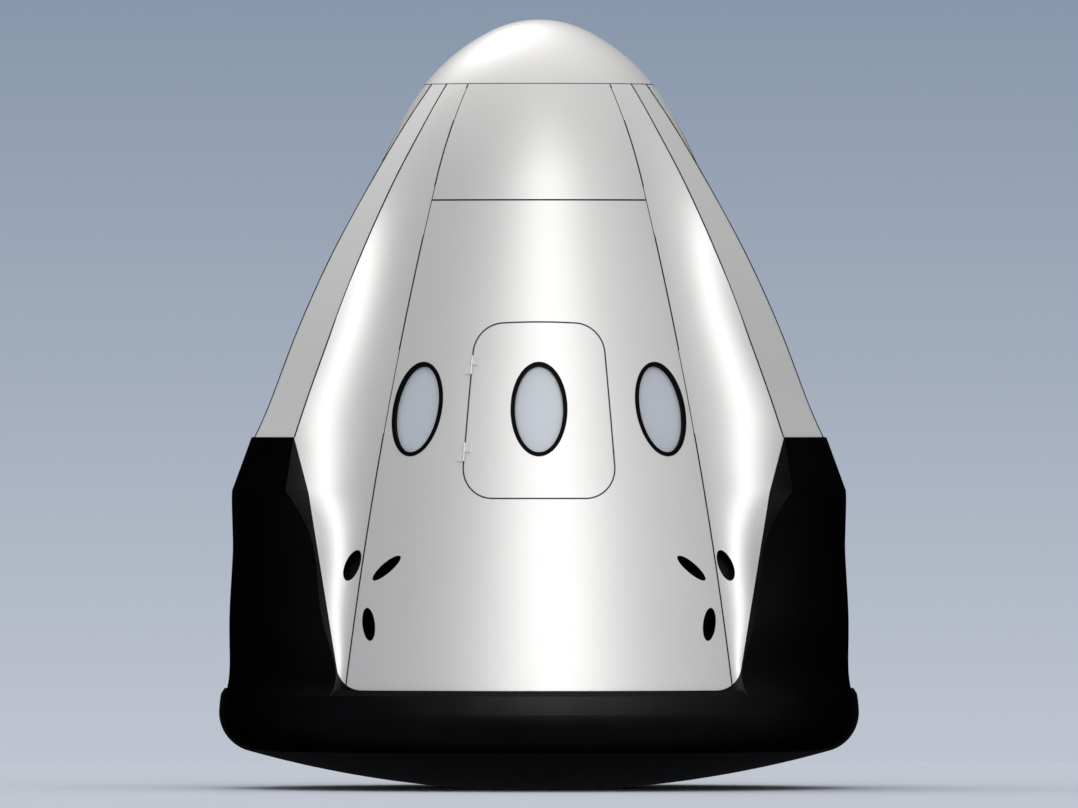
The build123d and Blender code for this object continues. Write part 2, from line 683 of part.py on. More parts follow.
def seats():
    """Frames with legs, and the cushions on them."""
    frames, cushions = [], []
    for place in seat_places():
        pan, back = seat_part(SEAT_SHELL, 0, SEAT_WIDTH)
        leg = Box(
            SEAT_LEG_WIDTH,
            SEAT_LENGTH / 2,
            SEAT_LEG_HEIGHT,
            align=(Align.CENTER, Align.CENTER, Align.MIN),
        )
        legs = [
            Pos(side * (SEAT_WIDTH - SEAT_LEG_WIDTH) / 2, SEAT_FRONT_Y + SEAT_LENGTH / 2, FLOOR_TOP_Z) * leg
            for side in (-1, 1)
        ]
        frames.append(Pos(place, 0, 0) * (pan + back + legs[0] + legs[1]))
        soft_pan, soft_back = seat_part(SEAT_CUSHION, SEAT_SHELL + SOFT_GAP, SEAT_WIDTH - SEAT_SHELL)
        cushions.append(Pos(place, 0, 0) * ((soft_pan + soft_back) - (pan + back)))
    return frames, cushions


def console():
    """Display console in the cabin, and the two posts that hang it from the deck."""
    panel = Pos(0, CONSOLE_Y, CONSOLE_Z) * Rot(-CONSOLE_LEAN, 0, 0) * Box(
        CONSOLE_WIDTH, CONSOLE_DEPTH, CONSOLE_HEIGHT
    )
    under_deck = DECK_TOP_Z - DECK_THICKNESS
    post = Cylinder(
        CONSOLE_POST_RADIUS, under_deck - CONSOLE_Z, align=(Align.CENTER, Align.CENTER, Align.MIN)
    )
    reach = CONSOLE_WIDTH / 2 - 2 * CONSOLE_POST_RADIUS
    posts = [Pos(side * reach, CONSOLE_Y, CONSOLE_Z) * post - panel for side in (-1, 1)]
    return panel, posts


def write(name, *shapes):
    """Writes one node, of one solid or of several that don't touch."""
    solids = [solid for shape in shapes for solid in shape.solids()]
    whole = solids[0] if len(solids) == 1 else Compound(children=solids)
    export_step(whole, f"parts/{name}.step")


def build_body():
    """Wall panels, pods, covers, base band and heat shield."""
    band, shield_radius = base_band()
    write("heat_shield", heat_shield(shield_radius))
    side_half = 90 - 2 * POD_AZIMUTH + FRONT_EDGE_AZIMUTH
    faces = {
        "front": (0, FRONT_EDGE_AZIMUTH, FRONT_NOTCH_SHARES, UPPER_SEAM_Z - SEAM_GAP),
        "right": (90, side_half, SIDE_NOTCH_SHARES, NOSE_SEAM_Z),
        "rear": (180, FRONT_EDGE_AZIMUTH, FRONT_NOTCH_SHARES, UPPER_SEAM_Z - SEAM_GAP),
        "left": (-90, side_half, SIDE_NOTCH_SHARES, NOSE_SEAM_Z),
    }
    skins, notches = {}, {}
    for face, (azimuth, half, shares, top) in faces.items():
        turn = Rot(0, 0, azimuth)
        skins[face] = turn * skin_panel(FOOT_Z, top, -half, half)
        notches[face] = turn * notch(shares)
    for face in ("front", "rear"):
        write(f"{face}_upper_panel", upper_panel(faces[face][0]))
    write("base_band", band)
    write("side_skin_right", skins["right"])
    write("side_skin_left", skins["left"])
    low_form = low_pod_form()
    white_low, black_low = high_pod_form(0) + low_form, high_pod_form(COVER_STEP) + low_form
    upper = fairing_form()
    cuts, nozzles = {"front": [], "rear": []}, {"front": [], "rear": []}
    for end in ("front", "rear"):
        for side in (-1, 1):
            places = port_places(side, SKIN_PORT_SHARES)
            places += port_places(side, [FLANK_PORT_SHARES])
            for place in places:
                cut, nozzle = port_cut(*place), port_nozzle(*place)
                if end == "rear":
                    cut, nozzle = mirror(cut, Plane.XZ), mirror(nozzle, Plane.XZ)
                cuts[end].append(cut)
                nozzles[end].append(nozzle)
    for name, azimuth in POD_AZIMUTHS.items():
        end, side = name.split("_")
        turn = at_azimuth(azimuth)
        cover = turn * black_low - notches[end] - notches[side] - band
        fairing = turn * upper
        for face in (end, side):
            fairing += (turn * white_low) & notches[face]
        flank_cut = cuts[end][5 if side == "right" else 2]
        write(f"pod_cover_{name}", cover)
        write(f"pod_fairing_{name}", fairing - flank_cut)
    for end in ("front", "rear"):
        write(f"thruster_nozzles_{end}", *nozzles[end])
        for cut in cuts[end]:
            skins[end] -= cut
    write("rear_skin", skins["rear"])
    return skins["front"]


def build_hatch(skin):
    """Hatch, its window and hinges, and the windows beside it."""
    door = skin & hatch_form(HATCH_GAP)
    skin -= hatch_form(0)
    sides = (-WINDOW_AZIMUTH, WINDOW_AZIMUTH)
    for azimuth in sides:
        skin -= oval_prism(azimuth, WINDOW_Z, 0)
    door -= oval_prism(0, WINDOW_Z, 0)
    knuckles, leaves = hatch_hinges(skin, door)
    write("front_skin", skin)
    write("hatch_door", door)
    write("hatch_window_rim", window_rim(0))
    write("hatch_window_pane", window_pane(0))
    write("side_window_rims", *(window_rim(azimuth) for azimuth in sides))
    write("side_window_panes", *(window_pane(azimuth) for azimuth in sides))
    write("hatch_hinge_knuckles", knuckles)
    write("hatch_hinge_leaves", leaves)
    latch_plane = normal_plane(0, HATCH_BOTTOM_Z + LATCH_RISE, -WALL - LATCH_THICKNESS)
    latch = extrude(latch_plane * Circle(LATCH_RADIUS), LATCH_THICKNESS * 2) - door
    write("hatch_latch", latch.solids().sort_by(Axis.Y)[-1])


def build_nose():
    """Nose cap, docking gear, tunnel and forward hatch."""
    cap = nose_cap()
    lugs, arm = nose_hinge(upper_panel(180), cap)
    write("nose_cap", cap)
    write("nose_hinge_lugs", lugs)
    write("nose_hinge_arm", arm)
    tunnel_outer = TUNNEL_RADIUS + TUNNEL_WALL
    deck_radius = body_radius(DECK_TOP_Z) - WALL - SEAM_GAP
    deck = ring(tunnel_outer + SEAM_GAP, deck_radius, DECK_TOP_Z - DECK_THICKNESS, DECK_TOP_Z)
    write("forward_deck", deck)
    write("docking_tunnel", ring(TUNNEL_RADIUS, tunnel_outer, TUNNEL_FOOT_Z, RING_TOP_Z))
    write("docking_ring", ring(tunnel_outer + SEAM_GAP, RING_RADIUS, DECK_TOP_Z, RING_TOP_Z))
    write("docking_petals", *docking_petals())
    write("forward_thrusters", *forward_thrusters())
    lid = forward_lid()
    lid_lugs, lid_arm = lid_hinge(lid)
    write("forward_hatch", lid)
    write("forward_hatch_lugs", lid_lugs)
    write("forward_hatch_arm", lid_arm)


def build_cabin():
    """Floor, seats and console."""
    floor_radius = body_radius(FLOOR_TOP_Z) - WALL - SEAM_GAP
    floor_middle = FLOOR_TOP_Z - FLOOR_THICKNESS / 2
    write("cabin_floor", Pos(0, 0, floor_middle) * Cylinder(floor_radius, FLOOR_THICKNESS))
    frames, cushions = seats()
    write("seat_frames", *frames)
    write("seat_cushions", *cushions)
    panel, posts = console()
    write("console", panel)
    write("console_posts", *posts)


os.makedirs("parts", exist_ok=True)
front_skin = build_body()
build_hatch(front_skin)
build_nose()
build_cabin()
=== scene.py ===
"""Looks of a crewed space capsule that stands on its heat shield.

Every length is in metres, +Z is up, the side hatch faces -Y, and an azimuth is counted in degrees
from -Y towards +X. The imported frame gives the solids. This file dresses them, replaces the seat
cushions, and replaces three skins and the four fairings by copies with other shading normals. It
adds the seams, the fittings and the cabin's details.
"""

from __future__ import annotations

import json
import logging
import math
from dataclasses import dataclass, field
from enum import Enum
from functools import partial
from typing import Callable, Iterable, Sequence

import bmesh
import bpy
from bmesh.types import BMesh
from mathutils import Matrix, Vector
from mathutils.bvhtree import BVHTree

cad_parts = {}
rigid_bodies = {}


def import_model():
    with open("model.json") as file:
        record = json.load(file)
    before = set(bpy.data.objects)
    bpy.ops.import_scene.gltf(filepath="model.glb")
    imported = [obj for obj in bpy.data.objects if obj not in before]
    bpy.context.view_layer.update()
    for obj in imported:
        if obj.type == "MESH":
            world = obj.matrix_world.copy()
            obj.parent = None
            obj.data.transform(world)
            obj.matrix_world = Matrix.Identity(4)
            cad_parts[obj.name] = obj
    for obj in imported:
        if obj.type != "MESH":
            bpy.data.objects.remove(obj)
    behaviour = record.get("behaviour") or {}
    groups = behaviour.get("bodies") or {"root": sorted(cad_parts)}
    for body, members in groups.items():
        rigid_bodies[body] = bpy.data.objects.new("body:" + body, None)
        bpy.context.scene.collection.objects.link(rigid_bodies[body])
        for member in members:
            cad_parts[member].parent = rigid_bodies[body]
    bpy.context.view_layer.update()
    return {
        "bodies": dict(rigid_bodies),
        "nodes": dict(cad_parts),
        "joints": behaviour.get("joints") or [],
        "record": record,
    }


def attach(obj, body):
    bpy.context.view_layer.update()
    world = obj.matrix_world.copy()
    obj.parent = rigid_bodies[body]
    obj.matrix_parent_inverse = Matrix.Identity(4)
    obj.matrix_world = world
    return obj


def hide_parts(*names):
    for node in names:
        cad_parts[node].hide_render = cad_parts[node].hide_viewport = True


LOG = logging.getLogger("capsule")

Colour = tuple[float, float, float]
Point = tuple[float, float, float]
Profile = Sequence[tuple[float, float]]
Outline = tuple[tuple[float, float], ...]
Mark = tuple[Vector, Vector]
Piece = bpy.types.Object
Socket = bpy.types.NodeSocket

UP = Vector((0, 0, 1))


class Ray(Enum):
    """Kinds of ray that the world answers in their own way."""

    CAMERA = "Is Camera Ray"
    GLOSSY = "Is Glossy Ray"
    TRANSMISSION = "Is Transmission Ray"


class Labelled(Enum):
    """Choice whose name, in small letters, is part of the names of pieces."""

    @property
    def label(self) -> str:
        """Name of the choice in small letters."""
        return self.name.lower()


class Side(Labelled):
    """The two sides of the capsule as its hatch is looked at."""

    LEFT = -1
    RIGHT = 1


class End(Labelled):
    """Front, where the hatch is, and rear; the value is the azimuth that the end faces."""

    FRONT = 0
    REAR = 180


def around(turn: float, radius: float, z: float) -> Vector:
    """Point at an angle in radians from -Y towards +X, a distance from the axis and a height."""
    return Vector((radius * math.sin(turn), -radius * math.cos(turn), z))


def aim(azimuth: float, lean: float = 0.0) -> Vector:
    """Unit vector towards an azimuth in degrees, raised by an angle in radians."""
    return around(math.radians(azimuth), math.cos(lean), math.sin(lean))


def spread(low: float, high: float, steps: int) -> list[float]:
    """Even steps from one value to another, with both ends."""
    return [low + (high - low) * step / steps for step in range(steps + 1)]


def full_turn(steps: int) -> list[float]:
    """Angles in radians of even steps around a circle."""
    return [2 * math.pi * step / steps for step in range(steps)]


# Shape laws


@dataclass(frozen=True)
class BodyForm:
    """Outer form of the white body: a surface of revolution of two tangent arcs."""

    seam_z: float = 4.394
    seam_radius: float = 0.716
    shoulder_z: float = 3.8
    shoulder_radius: float = 1.036
    foot_z: float = 0.625
    foot_radius: float = 1.95
    shoulder_bulge: float = 0.021
    body_bulge: float = 0.072
    wall: float = 0.11

    def circle(self, z: float) -> tuple[float, float, float]:
        """Circle that the outline follows at a height.

        Args:
            z: Height of the point.

        Returns:
            Centre's distance from the axis, centre's height, and radius.
        """
        if z > self.shoulder_z:
            start, end = (self.seam_radius, self.seam_z), (self.shoulder_radius, self.shoulder_z)
            bulge = self.shoulder_bulge
        else:
            start, end = (self.shoulder_radius, self.shoulder_z), (self.foot_radius, self.foot_z)
            bulge = self.body_bulge
        chord = math.dist(start, end)
        radius = (chord**2 / 4 + bulge**2) / (2 * bulge)
        along = ((end[0] - start[0]) / chord, (end[1] - start[1]) / chord)
        reach = radius - bulge
        centre_r = (start[0] + end[0]) / 2 + along[1] * reach
        centre_z = (start[1] + end[1]) / 2 - along[0] * reach
        return centre_r, centre_z, radius

    def radius(self, z: float) -> float:
        """Radius of the body at a height."""
        centre_r, centre_z, radius = self.circle(z)
        return centre_r + math.sqrt(radius**2 - (z - centre_z) ** 2)

    def lean(self, z: float) -> float:
        """Angle in radians by which the surface leans inwards at a height."""
        _, centre_z, radius = self.circle(z)
        return math.asin((z - centre_z) / radius)

    def normal(self, azimuth: float, z: float) -> Vector:
        """Outward normal of the surface at an azimuth and a height."""
        return aim(azimuth, self.lean(z))

    def point(self, azimuth: float, z: float, proud: float = 0.0) -> Vector:
        """Point at a distance outside the surface, at an azimuth and a height."""
        place = around(math.radians(azimuth), self.radius(z), z)
        return place + self.normal(azimuth, z) * proud

    def inside(self, azimuth: float, z: float, depth: float) -> Matrix:
        """Place at a depth inside the wall's inner face, with its Z axis into the cabin."""
        place = Matrix.Translation(self.point(azimuth, z, -self.wall - depth))
        return place @ facing_matrix(-self.normal(azimuth, z))


@dataclass(frozen=True)
class PodForm:
    """Creases of a pod's flat outer face, from the black cover up to the nose seam."""

    low_z: float = 2.194
    high_z: float = 4.394
    reach: float = 1.898
    half_width: float = 0.25
    # Height from low_z to high_z, face distance of the reach, half width of its own
    crease_shares: tuple[tuple[float, float, float], ...] = (
        (0.0, 1.0, 1.0),
        (0.2755, 0.863, 0.868),
        (0.531, 0.7208, 0.724),
        (0.73, 0.5885, 0.56),
        (0.8664, 0.4874, 0.488),
        (1.0, 0.3783, 0.376),
    )

    def crease(self, share: float) -> tuple[float, float]:
        """Distance and half width of the face at a share of the pod's height.

        Args:
            share: 0 at the cover's top and 1 at the nose seam.

        Returns:
            Distance of the face from the axis, and half of its width.
        """
        rows = self.crease_shares
        index = min(sum(1 for row in rows[1:] if row[0] < share), len(rows) - 2)
        low, high = rows[index], rows[index + 1]
        before = rows[max(index - 1, 0)]
        after = rows[min(index + 2, len(rows) - 1)]
        span = high[0] - low[0]
        t = (share - low[0]) / span
        values = []
        for column in (1, 2):
            slope_low = (high[column] - before[column]) / (high[0] - before[0]) * span
            slope_high = (after[column] - low[column]) / (after[0] - low[0]) * span
            values.append(
                (2 * t**3 - 3 * t**2 + 1) * low[column]
                + (t**3 - 2 * t**2 + t) * slope_low
                + (3 * t**2 - 2 * t**3) * high[column]
                + (t**3 - t**2) * slope_high
            )
        return values[0] * self.reach, values[1] * self.half_width

    def line(self, azimuth: float, side: Side, count: int) -> list[Vector]:
        """Points along one crease of the pod at an azimuth."""
        turn = Matrix.Rotation(math.radians(azimuth - 90), 4, "Z")
        points = []
        for share in spread(0.0, 1.0, count - 1):
            distance, half = self.crease(share)
            z = self.low_z + share * (self.high_z - self.low_z)
            points.append(turn @ Vector((distance, side.value * half, z)))
        return points


BODY = BodyForm()
POD = PodForm()
POD_AZIMUTHS = {"front_right": 60, "front_left": -60, "rear_right": 120, "rear_left": -120}
PANEL_AZIMUTHS = (38, 82, 98, 142)


# Finishes


class Nodes:
    """Small helper that adds shader nodes to one material or world and links them."""

    def __init__(self, tree: bpy.types.NodeTree) -> None:
        """Keeps the tree and empties it."""
        self.tree = tree
        tree.nodes.clear()

    def add(self, kind: str, **values: object) -> bpy.types.Node:
        """Adds a node.

        Args:
            kind: Blender's type name of the node.
            values: Properties of the node, or values of its input sockets; in a socket's name an
                underscore stands for a space.

        Returns:
            The node.
        """
        node = self.tree.nodes.new(kind)
        for key, value in values.items():
            if hasattr(node, key):
                setattr(node, key, value)
            else:
                node.inputs[key.replace("_", " ")].default_value = value
        return node

    def link(self, out: Socket, into: Socket) -> None:
        """Links two sockets."""
        self.tree.links.new(out, into)

    def ramp(self, fac: Socket, stops: Sequence[tuple[float, Colour]]) -> Socket:
        """Colour ramp from a value.

        Args:
            fac: Socket that gives the value.
            stops: Place and colour of each stop, from low to high.

        Returns:
            The colour socket.
        """
        node = self.add("ShaderNodeValToRGB")
        elements = node.color_ramp.elements
        while len(elements) < len(stops):
            elements.new(0.5)
        for element, (place, colour) in zip(elements, stops):
            element.position = place
            element.color = (*colour, 1)
        self.link(fac, node.inputs["Fac"])
        return node.outputs["Color"]

    def math(self, operation: str, first: Socket, second: Socket | float) -> Socket:
        """One sum of two values, of which the second may be a plain number."""
        node = self.add("ShaderNodeMath", operation=operation)
        self.link(first, node.inputs[0])
        if isinstance(second, Socket):
            self.link(second, node.inputs[1])
        else:
            node.inputs[1].default_value = second
        return node.outputs["Value"]

    def vector(self, operation: str, first: Socket, second: Sequence[float] = (0, 0, 0)) -> bpy.types.Node:
        """One sum of a vector and a constant one."""
        node = self.add("ShaderNodeVectorMath", operation=operation)
        self.link(first, node.inputs[0])
        node.inputs[1].default_value = second
        return node

    def rise(self, ray: Socket) -> Socket:
        """Height of a direction."""
        split = self.add("ShaderNodeSeparateXYZ")
        self.link(ray, split.inputs["Vector"])
        return split.outputs["Z"]

    def mix(self, fac: Socket, first: Socket, second: Socket) -> Socket:
        """Shader that goes from a first to a second as a value goes from 0 to 1."""
        node = self.add("ShaderNodeMixShader")
        for out, into in zip((fac, first, second), node.inputs):
            self.link(out, into)
        return node.outputs["Shader"]

    def fade(
        self, value: Socket, low: float, high: float, start: float, end: float, smooth: bool = True
    ) -> Socket:
        """Value that goes from start to end while another goes from low to high."""
        kind = "SMOOTHSTEP" if smooth else "LINEAR"
        node = self.add(
            "ShaderNodeMapRange", interpolation_type=kind, From_Min=low, From_Max=high, To_Min=start,
            To_Max=end,
        )
        self.link(value, node.inputs["Value"])
        return node.outputs["Result"]

    def noise(self, scale: float, detail: float, stretch: Point) -> Socket:
        """Noise in the object's own space, which gives one value."""
        place = self.add("ShaderNodeTexCoord")
        mapping = self.add("ShaderNodeMapping", Scale=stretch)
        self.link(place.outputs["Object"], mapping.inputs["Vector"])
        noise = self.add("ShaderNodeTexNoise", Scale=scale, Detail=detail)
        self.link(mapping.outputs["Vector"], noise.inputs["Vector"])
        return noise.outputs["Fac"]

    def bump(self, height: Socket, strength: float, distance: float) -> Socket:
        """Bump from a height."""
        node = self.add("ShaderNodeBump", Strength=strength, Distance=distance)
        self.link(height, node.inputs["Height"])
        return node.outputs["Normal"]


# Places of the two colours in the noise, and the detail of each noise
PATCH_STOPS = (0.35, 0.65)
PATCH_DETAIL = 4.0
WEAR_SCALE = 7
WEAR_DETAIL = 5.0
GRAIN_DETAIL = 2.0


def shade(colour: Colour, factor: float) -> Colour:
    """A colour made darker or lighter by a factor."""
    return tuple(min(1.0, channel * factor) for channel in colour)


@dataclass(frozen=True)
class Finish:
    """A surface finish: colour that varies a little, a grain in its gloss, and fine bump."""

    name: str
    colour: Colour
    roughness: float = 0.4
    metallic: float = 0.0
    coat: float = 0.0
    coat_roughness: float = 0.1
    specular: float = 0.5
    # Tint of a metal's reflection at a flat angle
    edge_tint: float = 1.0
    # Largest change of the colour, and how many patches a metre it has
    variation: float = 0.03
    variation_scale: float = 2.0
    gloss_variation: float = 0.04
    grain_scale: float = 60.0
    grain_depth: float = 0.0004
    grain_strength: float = 0.15
    stretch: Point = (1, 1, 1)

    def extras(self) -> dict[str, object]:
        """Values of the principled shader's other sockets."""
        return {}

    def shader(self, nodes: Nodes) -> bpy.types.Node:
        """Builds the principled shader with its colour, gloss and bump."""
        principled = nodes.add(
            "ShaderNodeBsdfPrincipled",
            Metallic=self.metallic,
            Coat_Weight=self.coat,
            Coat_Roughness=self.coat_roughness,
            Specular_IOR_Level=self.specular,
            Specular_Tint=(self.edge_tint, self.edge_tint, self.edge_tint, 1),
            **self.extras(),
        )
        low, high = (shade(self.colour, 1 + change) for change in (-self.variation, self.variation))
        patches = nodes.noise(self.variation_scale, PATCH_DETAIL, self.stretch)
        wear = nodes.noise(self.variation_scale * WEAR_SCALE, WEAR_DETAIL, self.stretch)
        least, most = self.roughness - self.gloss_variation, self.roughness + self.gloss_variation
        surface = {
            "Base Color": nodes.ramp(patches, [(PATCH_STOPS[0], low), (PATCH_STOPS[1], high)]),
            "Roughness": nodes.fade(wear, 0.0, 1.0, least, most, smooth=False),
            "Normal": nodes.bump(self.height(nodes), self.grain_strength, self.grain_depth),
        }
        for name, socket in surface.items():
            nodes.link(socket, principled.inputs[name])
        return principled

    def height(self, nodes: Nodes) -> Socket:
        """Height that the bump follows."""
        return nodes.noise(self.grain_scale, GRAIN_DETAIL, self.stretch)

    def material(self) -> bpy.types.Material:
        """The material of this finish, made once."""
        name = f"finish_{self.name}"
        made = bpy.data.materials.get(name)
        if made is not None:
            return made
        made = bpy.data.materials.new(name)
        made.use_nodes = True
        nodes = Nodes(made.node_tree)
        out = nodes.add("ShaderNodeOutputMaterial")
        nodes.link(self.shader(nodes).outputs["BSDF"], out.inputs["Surface"])
        made.diffuse_color = (*self.colour, 1)
        return made

    def dress(self, *pieces: Piece) -> None:
        """Gives pieces this finish alone."""
        for piece in pieces:
            if not piece.material_slots:
                piece.data.materials.append(self.material())
            for slot in piece.material_slots:
                slot.material = self.material()


@dataclass(frozen=True)
class WovenFinish(Finish):
    """Cloth: two crossed sets of threads in the bump, with a sheen."""

    thread: float = 260.0
    sheen: float = 0.4

    def extras(self) -> dict[str, object]:
        """Sheen of the cloth."""
        return {"Sheen_Weight": self.sheen}

    def height(self, nodes: Nodes) -> Socket:
        """Height of two crossed sets of threads."""
        place = nodes.add("ShaderNodeTexCoord")
        waves = []
        for direction in ("X", "Z"):
            wave = nodes.add("ShaderNodeTexWave", bands_direction=direction, Scale=self.thread)
            nodes.link(place.outputs["Object"], wave.inputs["Vector"])
            waves.append(wave.outputs["Fac"])
        return nodes.math("MAXIMUM", *waves)


@dataclass(frozen=True)
class TileFinish(Finish):
    """Heat shield: square tiles with dark joints in colour and bump."""

    tiles_per_metre: float = 5.0
    joint: float = 0.03
    joint_shade: float = 0.6

    def tiles(self, nodes: Nodes) -> Socket:
        """Value that is low in the joints between square tiles."""
        place = nodes.add("ShaderNodeTexCoord")
        brick = nodes.add(
            "ShaderNodeTexBrick",
            offset=0.5,
            Scale=self.tiles_per_metre,
            Mortar_Size=self.joint,
            Mortar_Smooth=0.2,
            Brick_Width=1.0,
            Row_Height=1.0,
            Color1=(1, 1, 1, 1),
            Color2=(0.8, 0.8, 0.8, 1),
            Mortar=(0, 0, 0, 1),
        )
        nodes.link(place.outputs["Object"], brick.inputs["Vector"])
        return brick.outputs["Color"]

    def shader(self, nodes: Nodes) -> bpy.types.Node:
        """Darkens the colour in the joints."""
        principled = super().shader(nodes)
        plain = principled.inputs["Base Color"].links[0].from_socket
        mix = nodes.add("ShaderNodeMix", data_type="RGBA", blend_type="MULTIPLY")
        mix.inputs["Factor"].default_value = self.joint_shade
        nodes.link(plain, mix.inputs["A"])
        nodes.link(self.tiles(nodes), mix.inputs["B"])
        nodes.link(mix.outputs["Result"], principled.inputs["Base Color"])
        return principled

    def height(self, nodes: Nodes) -> Socket:
        """Height that drops in the joints."""
        return self.tiles(nodes)


@dataclass(frozen=True)
class GlowFinish(Finish):
    """Lamp cover that gives light."""

    glow: float = 20.0
    glow_colour: Colour = (1.0, 0.98, 0.95)

    def extras(self) -> dict[str, object]:
        """Light that the cover gives."""
        return {"Emission_Color": (*self.glow_colour, 1), "Emission_Strength": self.glow}


@dataclass(frozen=True)
class GlassFinish(Finish):
    """Window glass, glossy outside, that lets a little light through; its pale colour is painted reflection
    of the bright backdrop.
    """

    transmission: float = 0.2
    refraction: float = 1.45

    def extras(self) -> dict[str, object]:
        """Light that goes through, and how far it bends."""
        return {"Transmission_Weight": self.transmission, "IOR": self.refraction}


WHITE_PAINT = Finish(
    "white_paint", (0.825, 0.81, 0.785), roughness=0.32, metallic=0.35, variation=0.01,
    variation_scale=1.3, gloss_variation=0.015, grain_scale=140, grain_depth=0.0002,
    grain_strength=0.05,
)
BLACK_SKIN = Finish(
    "black_skin", (0.02, 0.02, 0.02), roughness=0.4, metallic=1.0, edge_tint=0.0, variation=0.1,
    variation_scale=3.0, gloss_variation=0.03, grain_scale=220, grain_depth=0.0003, grain_strength=0.08,
)
SHIELD_TILES = TileFinish(
    "shield_tiles", (0.002, 0.0019, 0.0018), roughness=0.75, variation=0.35, variation_scale=2.2,
    grain_depth=0.004, grain_strength=0.5, specular=0.04,
)
SEAM_FILL = Finish(
    "seam_fill", (0.004, 0.004, 0.004), roughness=0.7, variation=0.1, grain_scale=400, specular=0.05,
)
RIM_BLACK = Finish(
    "rim_black", (0.002, 0.002, 0.002), roughness=0.5, variation=0.2, grain_scale=300, specular=0.05,
)
# The pale blue-grey colour is painted reflection of the bright backdrop, not a tint of the glass
WINDOW_GLASS = GlassFinish(
    "window_glass", (0.73, 0.775, 0.84), roughness=0.12, coat=0.6, coat_roughness=0.03,
    variation=0.01, gloss_variation=0.01, grain_strength=0.0,
)
NOZZLE_BLACK = Finish(
    "nozzle_black", (0.012, 0.012, 0.012), roughness=0.35, metallic=1.0, variation=0.2, grain_scale=250,
)
BARE_METAL = Finish(
    "bare_metal", (0.55, 0.56, 0.58), roughness=0.32, metallic=1.0, variation=0.05,
    gloss_variation=0.06, grain_scale=90, grain_depth=0.0001, stretch=(1, 1, 6),
)
ANODISED = Finish(
    "anodised", (0.23, 0.24, 0.26), roughness=0.38, metallic=1.0, variation=0.08, grain_scale=150,
    grain_depth=0.0001,
)
DECK_PAINT = Finish(
    "deck_paint", (0.62, 0.63, 0.65), roughness=0.45, variation=0.05, variation_scale=4,
    grain_scale=180, grain_depth=0.0003,
)
SEAT_SHELL = Finish(
    "seat_shell", (0.05, 0.052, 0.055), roughness=0.35, coat=0.2, variation=0.1, grain_scale=320,
    grain_depth=0.0002,
)
SEAT_CLOTH = WovenFinish(
    "seat_cloth", (0.16, 0.165, 0.175), roughness=0.85, variation=0.12, variation_scale=9,
    grain_depth=0.0006, grain_strength=0.35,
)
STRAP_WEB = WovenFinish(
    "strap_web", (0.05, 0.06, 0.09), roughness=0.8, variation=0.12, variation_scale=20,
    grain_depth=0.0005, grain_strength=0.4, thread=420,
)
SCREEN_GLASS = Finish(
    "screen_glass", (0.012, 0.014, 0.018), roughness=0.08, coat=0.8, coat_roughness=0.02,
    variation=0.1, grain_strength=0.0,
)
LINING_PANEL = Finish(
    "lining_panel", (0.68, 0.68, 0.67), roughness=0.55, variation=0.03, variation_scale=5,
    gloss_variation=0.05, grain_scale=420, grain_depth=0.0003, grain_strength=0.25,
)
HANDLE_RED = Finish(
    "handle_red", (0.38, 0.05, 0.03), roughness=0.4, coat=0.3, variation=0.06, variation_scale=12,
    grain_scale=260, grain_depth=0.0002,
)
KEY_PLASTIC = Finish(
    "key_plastic", (0.20, 0.21, 0.23), roughness=0.5, variation=0.08, variation_scale=30,
    grain_scale=500, grain_depth=0.0001,
)
LIGHT_BAR = GlowFinish(
    "light_bar", (0.9, 0.92, 0.95), roughness=0.4, variation=0.01, grain_strength=0.02,
)
SEAL_RUBBER = Finish(
    "seal_rubber", (0.03, 0.03, 0.032), roughness=0.65, variation=0.15, grain_scale=350,
    grain_depth=0.0003,
)

NODE_FINISHES: dict[str, Finish] = {
    "white_panel": WHITE_PAINT,
    "black_skin": BLACK_SKIN,
    "heat_shield": SHIELD_TILES,
    "window_rim": RIM_BLACK,
    "window_glass": WINDOW_GLASS,
    "nozzle": NOZZLE_BLACK,
    "bare_metal": BARE_METAL,
    "deck_panel": DECK_PAINT,
    "seat_shell": SEAT_SHELL,
    "seat_fabric": SEAT_CLOTH,
    "console_black": ANODISED,
}


# Mesh work


def link_mesh(name: str, mesh: bpy.types.Mesh) -> Piece:
    """Object of a mesh, linked to the scene."""
    piece = bpy.data.objects.new(name, mesh)
    bpy.context.scene.collection.objects.link(piece)
    return piece


def mesh_object(name: str, work: BMesh, smooth_angle: float = 35.0) -> Piece:
    """Turns a bmesh into an object whose shading is smooth up to an angle.

    Args:
        name: Name of the piece.
        work: The mesh, which is freed.
        smooth_angle: Largest angle between faces, in degrees, that is shaded smooth.

    Returns:
        The object, linked to the scene.
    """
    bmesh.ops.recalc_face_normals(work, faces=work.faces)
    mesh = bpy.data.meshes.new(name)
    limit = math.radians(smooth_angle)
    for edge in work.edges:
        edge.smooth = len(edge.link_faces) == 2 and edge.calc_face_angle(0.0) < limit
    for face in work.faces:
        face.smooth = True
    work.to_mesh(mesh)
    work.free()
    return link_mesh(name, mesh)


def place_piece(piece: Piece, finish: Finish, body: str, replaces: Sequence[str] = ()) -> None:
    """Gives a piece its finish, its body and the solids that it stands for.

    Args:
        piece: The object.
        finish: Its finish.
        body: Name of the body that it moves with.
        replaces: Nodes that it stands for.
    """
    finish.dress(piece)
    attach(piece, body)
    if replaces:
        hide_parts(*replaces)
    LOG.info("%s rides on %s", piece.name, body)


def add_piece(
    name: str, work: BMesh, finish: Finish, body: str = "root", smooth_angle: float = 35.0
) -> None:
    """Makes a piece of a bmesh, and gives it its finish and body."""
    place_piece(mesh_object(name, work, smooth_angle), finish, body)


